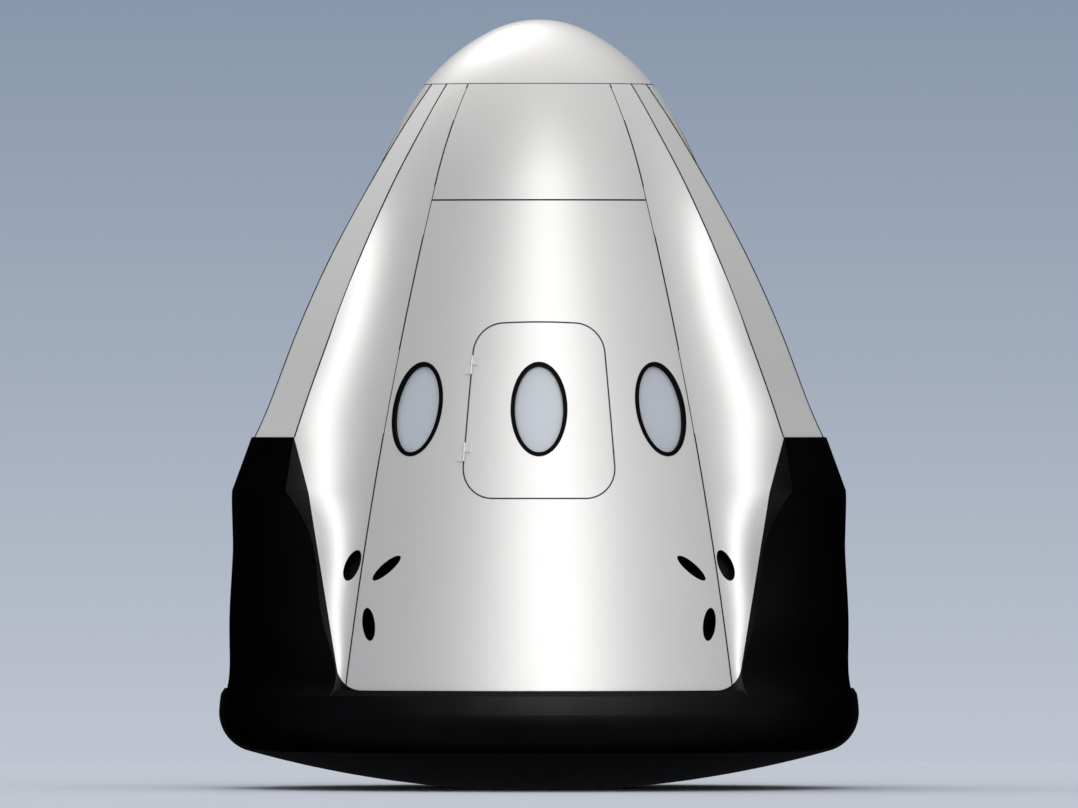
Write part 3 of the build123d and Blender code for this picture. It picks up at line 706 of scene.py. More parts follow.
def skin_rings(
    work: BMesh, rings: Sequence[Sequence[Vector]], closed: bool = False, caps: bool = True
) -> None:
    """Joins rings of points into a skin.

    Args:
        work: Mesh that gets the skin.
        rings: Rings with the same number of points.
        closed: Whether the last ring joins the first one, which leaves no place for caps.
        caps: Whether the first and the last ring get a face.
    """
    made = [[work.verts.new(point) for point in ring] for ring in rings]
    pairs = list(zip(made, made[1:]))
    if closed:
        pairs.append((made[-1], made[0]))
    for low, high in pairs:
        count = len(low)
        for step in range(count):
            after = (step + 1) % count
            work.faces.new((low[step], low[after], high[after], high[step]))
    if caps and not closed:
        work.faces.new(list(reversed(made[0])))
        work.faces.new(made[-1])


def step_along(points: Sequence[Vector], index: int, closed: bool = False) -> Vector:
    """Step from the point before one point of a line to the point after it."""
    before = points[index - 1] if closed or index else points[0]
    after = points[(index + 1) % len(points)] if closed or index < len(points) - 1 else points[-1]
    return after - before


def ribbon_rings(
    marks: Sequence[Mark], width: float, height: float, closed: bool = False
) -> list[list[Vector]]:
    """Sections of a flat strip that follows a line on a surface.

    Args:
        marks: Points of the line, each with the surface's outward normal.
        width: Width of the strip across the line.
        height: Height of the strip over the surface; it reaches as deep below it.
        closed: Whether the line is a loop.

    Returns:
        Rings of four points.
    """
    rings = []
    points = [point for point, _ in marks]
    for index, (point, normal) in enumerate(marks):
        across = step_along(points, index, closed).cross(normal).normalized() * (width / 2)
        rise = normal * height
        rings.append([point - across - rise, point + across - rise, point + across + rise,
                      point - across + rise])
    return rings


def add_ribbon(
    work: BMesh, marks: Sequence[Mark], width: float, height: float, closed: bool = False
) -> None:
    """Adds a flat strip that follows a line on a surface."""
    skin_rings(work, ribbon_rings(marks, width, height, closed), closed)


def add_tube(work: BMesh, points: Sequence[Vector], radius: float, sides: int) -> None:
    """Adds a round bar with flat ends along a line.

    Args:
        work: Mesh that gets the bar.
        points: Points of the line.
        radius: Radius of the bar.
        sides: Number of points around.
    """
    rings = []
    # Any direction that no line here follows; it keeps the sections from twisting
    guide = Vector((0.123, 0.456, 0.88)).normalized()
    for index, point in enumerate(points):
        along = step_along(points, index).normalized()
        guide = (guide - along * guide.dot(along)).normalized()
        second = along.cross(guide)
        rings.append([
            point + (guide * math.cos(turn) + second * math.sin(turn)) * radius
            for turn in full_turn(sides)
        ])
    skin_rings(work, rings)


def bead_profile(radius: float, z: float, half: float, sides: int = 12) -> list[tuple[float, float]]:
    """Round section of a ring, as distance from the axis and height of each corner."""
    return [(radius + half * math.cos(turn), z + half * math.sin(turn)) for turn in full_turn(sides)]


def add_turned(
    work: BMesh, profile: Profile, place: Matrix | None = None, steps: int = 24, closed: bool = False
) -> None:
    """Adds a profile turned about the Z axis of a place.

    Args:
        work: Mesh that gets the form.
        profile: Radius and height of each corner.
        place: Place of the form, or None for the capsule's own axis.
        steps: Number of steps around.
        closed: Whether the profile's last corner joins its first.
    """
    if place is None:
        place = Matrix.Identity(4)
    corners = [*profile, profile[0]] if closed else profile
    made = [
        [work.verts.new(place @ around(turn, radius, z)) for radius, z in corners]
        for turn in full_turn(steps)
    ]
    for index, ring in enumerate(made):
        after = made[(index + 1) % steps]
        for low in range(len(corners) - 1):
            work.faces.new((ring[low], after[low], after[low + 1], ring[low + 1]))
    bmesh.ops.remove_doubles(work, verts=[vertex for ring in made for vertex in ring], dist=1e-6)


def add_block(work: BMesh, size: Point, place: Matrix, bevel: float, at: Point = (0, 0, 0)) -> None:
    """Adds a block with rounded edges.

    Args:
        work: Mesh that gets the block.
        size: Its width, length and height.
        place: Place that it belongs to.
        bevel: Width of its rounded edges.
        at: Its middle in that place.
    """
    matrix = place @ Matrix.Translation(at) @ Matrix.Diagonal((*size, 1.0))
    made = bmesh.ops.create_cube(work, size=1.0, matrix=matrix)
    edges = list(dict.fromkeys(edge for vertex in made["verts"] for edge in vertex.link_edges))
    bmesh.ops.bevel(work, geom=edges, offset=bevel, segments=3, affect="EDGES", profile=0.6)


def facing_matrix(direction: Vector) -> Matrix:
    """Turn that brings the Z axis to a direction."""
    return direction.to_track_quat("Z", "Y").to_matrix().to_4x4()


def round_path(points: Sequence[Vector], times: int) -> list[Vector]:
    """Path whose corners are cut again and again, with its ends kept."""
    path = list(points)
    for _ in range(times):
        cut = [path[0]]
        for start, end in zip(path, path[1:]):
            cut += [start.lerp(end, 0.25), start.lerp(end, 0.75)]
        path = [*cut, path[-1]]
    return [
        point for index, point in enumerate(path)
        if not index or (point - path[index - 1]).length > 1e-5
    ]


def bake_modifiers(piece: Piece) -> Piece:
    """Object that has the shape which a piece's modifiers give, in the piece's place."""
    graph = bpy.context.evaluated_depsgraph_get()
    mesh = bpy.data.meshes.new_from_object(piece.evaluated_get(graph))
    baked = link_mesh(f"{piece.name}_baked", mesh)
    bpy.data.objects.remove(piece)
    return baked


def mesh_tree(mesh: bpy.types.Mesh) -> BVHTree:
    """Search tree of a mesh."""
    return BVHTree.FromPolygons(
        [vertex.co.copy() for vertex in mesh.vertices], [tuple(face.vertices) for face in mesh.polygons]
    )


def surface_edge_loop(
    node: Piece, wanted: Callable[[Vector], bool], near: float = 0.0006
) -> list[Vector]:
    """Sharp edge of a solid that lies on the body's outer surface, as one closed line.

    Args:
        node: The solid.
        wanted: Test that a point of the edge passes.
        near: Greatest distance from the body's surface.

    Returns:
        Points in order around the edge.
    """
    work = bmesh.new()
    work.from_mesh(node.data)
    bmesh.ops.remove_doubles(work, verts=work.verts, dist=1e-5)

    def outside(vertex: bmesh.types.BMVert) -> bool:
        """Whether a corner lies on the outer surface and passes the test."""
        point = vertex.co
        return abs(math.hypot(point.x, point.y) - BODY.radius(point.z)) < near and wanted(point)

    after: dict[int, list[int]] = {}
    for edge in work.edges:
        sharp = len(edge.link_faces) == 2 and edge.calc_face_angle(0.0) > math.radians(40)
        if sharp and all(outside(vertex) for vertex in edge.verts):
            first, second = (vertex.index for vertex in edge.verts)
            after.setdefault(first, []).append(second)
            after.setdefault(second, []).append(first)
    work.verts.ensure_lookup_table()
    order = [min(after)]
    seen = {order[0]}
    while True:
        following = [index for index in after[order[-1]] if index not in seen]
        if not following:
            break
        order.append(following[0])
        seen.add(following[0])
    loop = [work.verts[index].co.copy() for index in order]
    work.free()
    return loop


@dataclass
class SurfaceSnap:
    """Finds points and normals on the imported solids."""

    nodes: Iterable[Piece]
    trees: list[BVHTree] = field(init=False)

    def __post_init__(self) -> None:
        """Builds one search tree a node."""
        self.trees = [mesh_tree(node.data) for node in self.nodes]

    @staticmethod
    def closest(found: Iterable[tuple]) -> tuple[Vector | None, Vector | None]:
        """Point and normal of the result with the least distance, or nothing."""
        met = [one for one in found if one[0] is not None]
        best = min(met, key=lambda one: one[3], default=(None, None))
        return best[0], best[1]

    def nearest(self, point: Vector) -> tuple[Vector | None, Vector | None]:
        """Nearest surface point and its normal."""
        return self.closest(tree.find_nearest(point) for tree in self.trees)

    def hit(self, start: Vector, direction: Vector) -> tuple[Vector | None, Vector | None]:
        """First surface point and its normal along a ray, or nothing."""
        return self.closest(tree.ray_cast(start, direction) for tree in self.trees)


# The capsule's sub-assemblies


@dataclass
class Shell:
    """White panels, pods and black covers, with the dark joints between them."""

    frame: dict
    joint_width: float = 0.0095
    joint_height: float = 0.0008
    # Distance of the upright joints' ends inside the body's foot and its nose seam
    joint_foot: float = 0.02
    joint_top: float = 0.002
    crease_radius: float = 0.0042
    upper_seam_z: float = 3.669
    line_steps: int = 60
    # Greatest distance of a point that counts as on the outer surface, and how far below the
    # body's foot that surface goes on
    near: float = 0.0004
    foot_lap: float = 0.05
    # Height of the covers' kink, slope of the flanks above it, and how far below it they are blended
    kink_z: float = 1.862
    flank_slope: float = 0.27
    kink_blend: float = 1.0
    # A flank's faces look this far along the pod's azimuth, and at least this far up
    flank_facing: tuple[float, float] = (0.15, 0.99)
    flank_rise: float = 0.2

    def dress_nodes(self) -> None:
        """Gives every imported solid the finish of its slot."""
        slots = {row["node"]: row["material_slot"] for row in self.frame["record"]["subparts"]}
        for name, node in self.frame["nodes"].items():
            NODE_FINISHES[slots[name]].dress(node)

    def reshade(self, name: str, body: str, correct: Callable[[bpy.types.Mesh, list[Vector]], None]) -> None:
        """Replaces a solid by a copy of its mesh with other shading normals and the same shape.

        Args:
            name: Node of the solid.
            body: Body that it moves with.
            correct: Changes the list of the copy's corner normals.
        """
        piece = link_mesh(f"{name}_surface", self.frame["nodes"][name].data.copy())
        normals = [corner.vector.copy() for corner in piece.data.corner_normals]
        correct(piece.data, normals)
        piece.data.normals_split_custom_set(normals)
        place_piece(piece, WHITE_PAINT, body, [name])

    def smooth_flanks(self, mesh: bpy.types.Mesh, normals: list[Vector], azimuth: float) -> None:
        """Normals that hide the crease which the covers' kink leaves in a fairing's flanks.

        Args:
            mesh: Mesh of the fairing.
            normals: Its corner normals.
            azimuth: Azimuth that the pod faces.
        """
        outward = aim(azimuth)
        least, most = self.flank_facing
        for polygon in mesh.polygons:
            flank = least < polygon.normal.dot(outward) < most and polygon.normal.z >= self.flank_rise
            if not flank or polygon.center.z > self.kink_z:
                continue
            for loop, corner in zip(polygon.loop_indices, polygon.vertices):
                normal = normals[loop]
                level = math.hypot(normal.x, normal.y)
                share = min(max((self.kink_z - mesh.vertices[corner].co.z) / self.kink_blend, 0.0), 1.0)
                slope = normal.z / level
                if slope > self.flank_slope:
                    slope = self.flank_slope + (slope - self.flank_slope) * share
                normals[loop] = Vector((normal.x / level, normal.y / level, slope)).normalized()

    def exact_normals(self, mesh: bpy.types.Mesh, normals: list[Vector]) -> None:
        """Normals of the exact body for the faces that lie on its outer surface.

        Args:
            mesh: Mesh of a skin.
            normals: Its corner normals.
        """
        exact = {}
        for vertex in mesh.vertices:
            x, y, z = vertex.co
            within = BODY.foot_z - self.foot_lap < z < BODY.seam_z
            if within and abs(math.hypot(x, y) - BODY.radius(z)) < self.near:
                exact[vertex.index] = BODY.normal(math.degrees(math.atan2(x, -y)), z)
        for polygon in mesh.polygons:
            if all(corner in exact for corner in polygon.vertices):
                for loop, corner in zip(polygon.loop_indices, polygon.vertices):
                    normals[loop] = exact[corner]

    def joint(self, name: str, line: Iterable[tuple[float, float]]) -> None:
        """Dark joint along a line of azimuths and heights on the body."""
        marks = [(BODY.point(*place), BODY.normal(*place)) for place in line]
        work = bmesh.new()
        add_ribbon(work, marks, self.joint_width, self.joint_height)
        add_piece(name, work, SEAM_FILL)

    def creases(self) -> None:
        """Thin bead along both edges of each pod's flat face."""
        for name, azimuth in POD_AZIMUTHS.items():
            snap = SurfaceSnap([self.frame["nodes"][f"pod_fairing_{name}"]])
            for side in Side:
                points = [snap.nearest(point)[0] for point in POD.line(azimuth, side, self.line_steps)]
                work = bmesh.new()
                add_tube(work, points, self.crease_radius, 8)
                add_piece(f"crease_{name}_{side.label}", work, SEAM_FILL, smooth_angle=80)

    def build(self) -> None:
        """Dresses the solids and adds the joints."""
        self.dress_nodes()
        for name, body in (("front_skin", "root"), ("rear_skin", "root"), ("hatch_door", "side_hatch")):
            self.reshade(name, body, self.exact_normals)
        for name, azimuth in POD_AZIMUTHS.items():
            self.reshade(f"pod_fairing_{name}", "root", partial(self.smooth_flanks, azimuth=azimuth))
        heights = spread(BODY.foot_z + self.joint_foot, BODY.seam_z - self.joint_top, self.line_steps)
        for side in Side:
            for azimuth in PANEL_AZIMUTHS:
                self.joint(f"joint_{side.label}_{azimuth}", [(side.value * azimuth, z) for z in heights])
        half = PANEL_AZIMUTHS[0]
        for end in End:
            turns = spread(end.value - half, end.value + half, self.line_steps)
            self.joint(f"joint_upper_{end.label}", [(turn, self.upper_seam_z) for turn in turns])
        self.creases()


@dataclass(frozen=True)
class NotchForm:
    """Outline of a notch in the black skin, as it is seen straight on.

    Attributes:
        azimuth: Azimuth that the notch faces.
        low_half: Half width low down.
        kink_half: Half width at the kink.
        panel_half_angle: Half angle of the white panel in it.
    """

    azimuth: float
    low_half: float
    kink_half: float
    panel_half_angle: float
    foot_z: float = 0.625
    low_z: float = 0.788
    kink_z: float = 1.85
    corner_radius: float = 0.156

    def corner(self) -> tuple[float, float]:
        """Place of the rounded lower corner's centre: distance from the middle, and height."""
        slope = (self.kink_half - self.low_half) / (self.kink_z - self.low_z)
        foot_half = self.low_half - slope * (self.low_z - self.foot_z)
        opening = math.acos(-slope / math.hypot(slope, 1.0))
        return foot_half - self.corner_radius / math.tan(opening / 2), self.foot_z + self.corner_radius


NOTCHES = (
    NotchForm(0, 1.258, 1.4309, 38),
    NotchForm(180, 1.258, 1.4309, 38),
    NotchForm(90, 0.3459, 0.6, 8),
    NotchForm(-90, 0.3459, 0.6, 8),
)


@dataclass
class FootCorners:
    """Black skin that laps over the white panels in the lower corners of the notches."""

    proud: float = 0.0012
    columns: int = 14
    rows: int = 5
    # Share of the way from the corner's centre to the panel's edge at which the plate starts
    start_share: float = 0.05

    def patch(self, notch: NotchForm, side: Side) -> BMesh:
        """Thin plate between the rounded corner and the foot of one panel."""
        centre, height = notch.corner()
        last = BODY.radius(notch.foot_z) * math.sin(math.radians(notch.panel_half_angle))
        first = centre + (last - centre) * self.start_share
        rings = []
        for across in spread(first, last, self.columns):
            top = height - math.sqrt(notch.corner_radius**2 - (across - centre) ** 2)
            places = []
            for z in spread(notch.foot_z, top, self.rows):
                turn = math.degrees(math.asin(across / BODY.radius(z)))
                places.append((notch.azimuth + side.value * turn, z))
            outer = [BODY.point(*place, self.proud) for place in places]
            rings.append(outer + [BODY.point(*place, -self.proud) for place in reversed(places)])
        work = bmesh.new()
        skin_rings(work, rings)
        return work

    def build(self) -> None:
        """Makes both corners of every notch."""
        for notch in NOTCHES:
            for side in Side:
                name = f"foot_corner_{notch.azimuth % 360}_{side.label}"
                add_piece(name, self.patch(notch, side), BLACK_SKIN)


@dataclass(frozen=True)
class PortForm:
    """One oval thruster port of the front's right side.

    Attributes:
        azimuth: Azimuth of its middle.
        faces: Azimuth that it points to.
        lean: Lean of its long axis in its own plane, in degrees.
        z: Height of its middle.
        half_width: Half of its width.
        half_height: Half of its height.
        proud: Distance of its plane outside the body's surface.
    """

    azimuth: float
    faces: float
    lean: float
    z: float
    half_width: float
    half_height: float
    proud: float = 0.0

    def axes(self, side: Side, end: End) -> tuple[Vector, Vector, Vector, Vector]:
        """Middle, long direction, short direction and normal of the port on one side and end."""
        facing = math.radians(side.value * self.faces)
        normal = aim(side.value * self.faces, BODY.lean(self.z))
        across = Vector((math.cos(facing), math.sin(facing), 0))
        turn = math.radians(side.value * self.lean)
        first = across * math.cos(turn) + normal.cross(across) * math.sin(turn)
        middle = BODY.point(side.value * self.azimuth, self.z) + normal * self.proud
        flip = -1 if end is End.REAR else 1
        return tuple(
            Vector((part.x, part.y * flip, part.z)) for part in (middle, first, normal.cross(first), normal)
        )


PORTS = (
    PortForm(32.0, 32.0, -39.3, 1.38305, 0.118, 0.0374),
    PortForm(34.5, 34.5, -17.2, 1.03416, 0.0465, 0.109),
    PortForm(40.3, 19.0, 18.6, 1.39556, 0.049, 0.102, 0.013),
)


@dataclass
class ThrusterPorts:
    """Dark nozzle skirts that line the oval pockets down to their cups; their black is partly the nozzles'
    dark metal and partly painted shade that stands in for deeper pockets.
    """

    frame: dict
    steps: int = 48
    cup_top: float = -0.0468
    # Height over the skin from which it is looked for, and how far outside the pocket's edge
    probe_height: float = 0.2
    probe_margin: float = 0.004
    # How far each ring of the skirt lies inside the pocket's edge, and how deep it is below the
    # skin's surface; the rings that have no depth lie on the cup
    rings: tuple[tuple[float, float | None], ...] = (
        (0.0006, None), (0.0006, 0.0015), (0.0010, 0.0005), (0.0022, 0.0005), (0.0030, 0.0020),
        (0.0048, 0.0200), (0.0075, None),
    )

    def skirt(self, form: PortForm, side: Side, end: End, skins: SurfaceSnap) -> BMesh:
        """Skirt of one port, whose rim follows the curved skin."""
        middle, first, second, normal = form.axes(side, end)
        loops: list[list[Vector]] = [[] for _ in self.rings]
        for turn in full_turn(self.steps):
            direction = first * (math.cos(turn) * form.half_width)
            direction += second * (math.sin(turn) * form.half_height)
            reach = direction.length
            outward = direction / reach
            start = middle + outward * (reach + self.probe_margin) + normal * self.probe_height
            met = skins.hit(start, -normal)[0]
            surface = (met - middle).dot(normal) if met is not None else 0.0
            for loop, (inset, depth) in zip(loops, self.rings):
                rise = self.cup_top if depth is None else surface - depth
                loop.append(middle + outward * (reach - inset) + normal * max(rise, self.cup_top))
        work = bmesh.new()
        skin_rings(work, loops, closed=True)
        return work

    def build(self) -> None:
        """Makes the skirts of all ports of both ends."""
        for end in End:
            parts = [f"{end.label}_skin", *(f"pod_fairing_{end.label}_{side.label}" for side in Side)]
            skins = SurfaceSnap([self.frame["nodes"][part] for part in parts])
            for side in Side:
                for number, form in enumerate(PORTS, start=1):
                    name = f"port_skirt_{end.label}_{side.label}_{number}"
                    # The skirts' black is partly painted shade, which stands in for the depth of the pockets
                    add_piece(name, self.skirt(form, side, end, skins), NOZZLE_BLACK)


@dataclass
class SideHatch:
    """Fittings of the side hatch: seal in its gap, lining, handle, rollers and lever."""

    frame: dict
    middle_z: float = 2.362
    window_z: float = 2.369
    # Half width and half height around the window inside which the door's edge isn't looked for
    window_clear: tuple[float, float] = (0.2, 0.33)
    # Middle of the seal outside the door's edge and over the surface, its width and half its height
    seal_offset: float = 0.003
    seal_rise: float = 0.0007
    seal_width: float = 0.0090
    seal_height: float = 0.0006
    # The lining: half angle in degrees, half height, corners, and half size of its opening
    lining_half_angle: float = 15.3
    lining_half_height: float = 0.5
    lining_corner: float = 0.15
    lining_opening: tuple[float, float] = (0.212, 0.341)
    lining_gap: float = 0.0015
    lining_thickness: float = 0.010
    # Share of the way from the opening's edge to the lining's, and share of its thickness
    lining_profile: Outline = (
        (0.0, 0.0), (0.0, 0.8), (0.03, 1.0), (0.12, 1.0), (0.16, 0.55), (0.84, 0.55), (0.88, 1.0),
        (0.97, 1.0), (1.0, 0.8), (1.0, 0.0),
    )
    steps: int = 120
    handle_rise: float = 0.405
    handle_half: float = 0.11
    handle_radius: float = 0.011
    # Share of the handle's half width, and height of the bar over the wall
    handle_path: Outline = (
        (-1.0, 0.0), (-1.0, 0.04), (-0.92, 0.062), (-0.6, 0.062), (0.0, 0.062), (0.6, 0.062),
        (0.92, 0.062), (1.0, 0.04), (1.0, 0.0),
    )
    handle_foot: Outline = (
        (0.0, -0.004), (0.024, -0.004), (0.024, 0.004), (0.018, 0.008), (0.0, 0.008),
    )
    # Azimuth and rise of the rollers on the sides and on the ends, and their two forms
    side_rollers: tuple[float, tuple[float, ...]] = (14.2, (-0.30, -0.1, 0.1, 0.30))
    end_rollers: tuple[float, float] = (7.0, 0.475)
    roller_bracket: Point = (0.034, 0.05, 0.022)
    roller_profile: Outline = (
        (0.0, 0.010), (0.010, 0.010), (0.012, 0.012), (0.012, 0.022), (0.010, 0.024), (0.0, 0.024),
    )
    lever_drop: float = 0.40
    lever_size: Point = (0.026, 0.17, 0.014)
    lever_housing: Outline = (
        (0.0, 0.001), (0.060, 0.001), (0.060, 0.005), (0.052, 0.009), (0.026, 0.011), (0.024, 0.022),
        (0.020, 0.026), (0.0, 0.026),
    )

    def outline(self, turn: float) -> tuple[float, float]:
        """Azimuth in degrees and rise where a ray from the door's middle leaves the lining."""
        low, high = 0.0, 1.5
        corner = self.lining_corner
        direction = Vector((math.cos(turn), math.sin(turn)))
        for _ in range(24):
            reach = (low + high) / 2
            across, up = (abs(part) for part in direction * reach)
            half_width = math.radians(self.lining_half_angle)
            half_width *= BODY.radius(self.middle_z + direction.y * reach)
            over = math.hypot(
                max(across - half_width + corner, 0.0), max(up - self.lining_half_height + corner, 0.0)
            )
            if over > corner or across > half_width or up > self.lining_half_height:
                high = reach
            else:
                low = reach
        point = direction * low
        return math.degrees(point.x / BODY.radius(self.middle_z + point.y)), point.y

    def lining(self) -> BMesh:
        """Moulded panel inside the door, open around the window, with a raised border."""
        depth = -BODY.wall - self.lining_gap
        width, height = self.lining_opening
        rings: list[list[Vector]] = [[] for _ in self.lining_profile]
        for turn in full_turn(self.steps):
            outer_turn, outer_rise = self.outline(turn)
            reach = 1 / math.hypot(math.cos(turn) / width, math.sin(turn) / height)
            inner_rise = reach * math.sin(turn)
            inner_turn = math.degrees(reach * math.cos(turn) / BODY.radius(self.middle_z + inner_rise))
            for ring, (share, thickness) in zip(rings, self.lining_profile):
                azimuth = inner_turn + (outer_turn - inner_turn) * share
                z = self.middle_z + inner_rise + (outer_rise - inner_rise) * share
                ring.append(BODY.point(azimuth, z, depth - thickness * self.lining_thickness))
        work = bmesh.new()
        skin_rings(work, rings, closed=True)
        return work

    def on_edge(self, point: Vector) -> bool:
        """Whether a point lies on the door's edge and not on its window's."""
        width, height = self.window_clear
        return abs(point.x) > width or abs(point.z - self.window_z) > height

    def seal(self) -> BMesh:
        """Black lip seal that covers the gap around the door."""
        loop = surface_edge_loop(self.frame["nodes"]["hatch_door"], self.on_edge)
        middle = sum(loop, Vector()) / len(loop)
        marks = []
        for index, point in enumerate(loop):
            normal = BODY.normal(math.degrees(math.atan2(point.x, -point.y)), point.z)
            outward = step_along(loop, index, closed=True).cross(normal).normalized()
            if outward.dot(point - middle) < 0:
                outward = -outward
            marks.append((point + outward * self.seal_offset + normal * self.seal_rise, normal))
        work = bmesh.new()
        add_ribbon(work, marks, self.seal_width, self.seal_height, closed=True)
        return work

    def handle(self) -> BMesh:
        """Grab handle across the door, over its window."""
        z = self.middle_z + self.handle_rise
        base, inward = BODY.point(0, z, -BODY.wall), -BODY.normal(0, z)
        side = Vector((self.handle_half, 0, 0))
        path = [base + side * share + inward * rise for share, rise in self.handle_path]
        work = bmesh.new()
        add_tube(work, round_path(path, 4), self.handle_radius, 14)
        for share in (-1, 1):
            foot = Matrix.Translation(base + side * share + inward * 0.006) @ facing_matrix(inward)
            add_turned(work, self.handle_foot, foot)
        return work

    def rollers(self) -> BMesh:
        """Latch rollers along both sides and both ends of the door, on their brackets."""
        work = bmesh.new()
        azimuth, rises = self.side_rollers
        places = [(side * azimuth, rise) for side in (-1, 1) for rise in rises]
        azimuth, rise = self.end_rollers
        places += [(side * azimuth, end * rise) for side in (-1, 1) for end in (-1, 1)]
        for azimuth, rise in places:
            place = BODY.inside(azimuth, self.middle_z + rise, 0.022)
            add_block(work, self.roller_bracket, place, 0.003)
            add_turned(work, self.roller_profile, place)
        return work

    def lever(self) -> BMesh:
        """Turning lever on the latch's round housing."""
        place = BODY.inside(0, self.middle_z - self.lever_drop, 0.030)
        work = bmesh.new()
        add_turned(work, self.lever_housing, place, 40)
        add_block(work, self.lever_size, place, 0.005, at=(0, 0.05, 0.020))
        return work

    def build(self) -> None:
        """Makes every fitting and lets it ride on the hatch."""
        made = (
            ("hatch_seal", self.seal(), SEAL_RUBBER, "window_rim"),
            ("hatch_lining", self.lining(), LINING_PANEL, "white_panel"),
            ("hatch_handle", self.handle(), BARE_METAL, "bare_metal"),
            ("hatch_rollers", self.rollers(), ANODISED, "bare_metal"),
            ("hatch_lever", self.lever(), HANDLE_RED, "bare_metal"),
        )
        for name, work, finish, slot in made:
            add_piece(name, work, finish, "side_hatch")


@dataclass
class DockingGear:
    """Seals, hooks, bolts and strips of the docking ring, and ribs and wheel of its hatch."""

    ring_top: float = 4.44
    ring_outer: float = 0.52
    deck_top: float = 4.33
    # Heights of the forward hatch's top and of its underside
    lid_top: float = 4.165
    lid_low: float = 4.115
    seal_radii: tuple[float, ...] = (0.468, 0.496)
    seal_half: float = 0.006
    hook_azimuths: tuple[int, ...] = (0, 18, 72, 90, 108, 162, 180, 198, 252, 270, 288, 342)
    # Size, rounding and middle of a housing's block and of the two blocks of its hook
    hook_blocks: tuple[tuple[Point, float, Point], ...] = (
        ((0.052, 0.040, 0.066), 0.004, (0, 0, 0)),
        ((0.020, 0.052, 0.016), 0.004, (0, 0.010, 0.041)),
        ((0.026, 0.014, 0.022), 0.003, (0, -0.008, 0.038)),
    )
    bolt_head: Outline = (
        (0.0, 0.0), (0.0075, 0.0), (0.0075, 0.004), (0.006, 0.0055), (0.0, 0.0055),
    )
    # Heights, and radius and rise of each corner, of the wear strips
    strip_heights: tuple[float, ...] = (4.215, 4.395)
    strip_profile: Outline = (
        (0.3985, -0.012), (0.3985, 0.012), (0.3955, 0.009), (0.3955, -0.009),
    )
    rib_profile: Outline = (
        (0.250, 0.0), (0.250, 0.014), (0.262, 0.018), (0.274, 0.014), (0.274, 0.0),
    )
    valve_profile: Outline = (
        (0.0, 0.0), (0.10, 0.0), (0.10, 0.010), (0.085, 0.020), (0.03, 0.024), (0.026, 0.034),
        (0.0, 0.034),
    )
    hub_profile: Outline = (
        (0.0, 0.0), (0.030, 0.0), (0.024, -0.03), (0.024, -0.062), (0.018, -0.066), (0.0, -0.066),
    )
    wheel_drop: float = 0.055

    @staticmethod
    def raised(profile: Profile, z: float) -> list[tuple[float, float]]:
        """A profile moved up to a height."""
        return [(radius, z + rise) for radius, rise in profile]

    @staticmethod
    def spokes(work: BMesh, count: int, size: Point, at: Point) -> None:
        """Adds bars that stand evenly around the axis."""
        for turn in full_turn(count):
            add_block(work, size, Matrix.Rotation(turn, 4, "Z"), 0.003, at)

    def seals(self) -> BMesh:
        """Two concentric bulb seals on the ring's top."""
        work = bmesh.new()
        for radius in self.seal_radii:
            profile = bead_profile(radius, self.ring_top + 0.001, self.seal_half)
            add_turned(work, profile, steps=96, closed=True)
        return work

    def hooks(self) -> BMesh:
        """Hook housings outside the ring, each with its hook."""
        work = bmesh.new()
        middle = Matrix.Translation((0, -(self.ring_outer + 0.022), self.deck_top + 0.034))
        for azimuth in self.hook_azimuths:
            place = Matrix.Rotation(math.radians(azimuth), 4, "Z") @ middle
            for size, bevel, at in self.hook_blocks:
                add_block(work, size, place, bevel, at)
        return work

    def ring_bolts(self) -> BMesh:
        """Bolt heads on the ring and on the deck's rim."""
        work = bmesh.new()
        for radius, top, count in ((0.450, self.ring_top, 36), (0.604, self.deck_top, 48)):
            for step in range(count):
                turn = 2 * math.pi * (step + 0.5) / count
                add_turned(work, self.bolt_head, Matrix.Translation(around(turn, radius, top)), 6)
        return work

    def tunnel_strips(self) -> BMesh:
        """Wear strips inside the tunnel's mouth."""
        work = bmesh.new()
        for z in self.strip_heights:
            add_turned(work, self.raised(self.strip_profile, z), steps=96, closed=True)
        return work

    def lid_ribs(self) -> BMesh:
        """Stiffening ring and spokes on the forward hatch's top, with its vent valve."""
        work = bmesh.new()
        add_turned(work, self.raised(self.rib_profile, self.lid_top), steps=96, closed=True)
        self.spokes(work, 8, (0.016, 0.148, 0.016), (0, -0.176, self.lid_top + 0.008))
        add_turned(work, self.raised(self.valve_profile, self.lid_top), steps=48)
        return work

    def lid_wheel(self) -> BMesh:
        """Hand wheel under the forward hatch."""
        work = bmesh.new()
        middle = self.lid_low - self.wheel_drop
        add_turned(work, bead_profile(0.115, middle, 0.010), steps=64, closed=True)
        add_turned(work, self.raised(self.hub_profile, self.lid_low), steps=32)
        self.spokes(work, 3, (0.014, 0.096, 0.010), (0, -0.067, middle))
        return work

    def build(self) -> None:
        """Makes the gear; what is on the forward hatch rides on it."""
        made = (
            ("ring_seals", self.seals(), SEAL_RUBBER, "root", "window_rim"),
            ("ring_hooks", self.hooks(), ANODISED, "root", "bare_metal"),
            ("ring_bolts", self.ring_bolts(), BARE_METAL, "root", "bare_metal"),
            ("tunnel_strips", self.tunnel_strips(), ANODISED, "root", "bare_metal"),
            ("forward_hatch_ribs", self.lid_ribs(), DECK_PAINT, "forward_lid", "deck_panel"),
            ("forward_hatch_wheel", self.lid_wheel(), HANDLE_RED, "forward_lid", "bare_metal"),
        )
        for name, work, finish, body, slot in made:
            add_piece(name, work, finish, body)


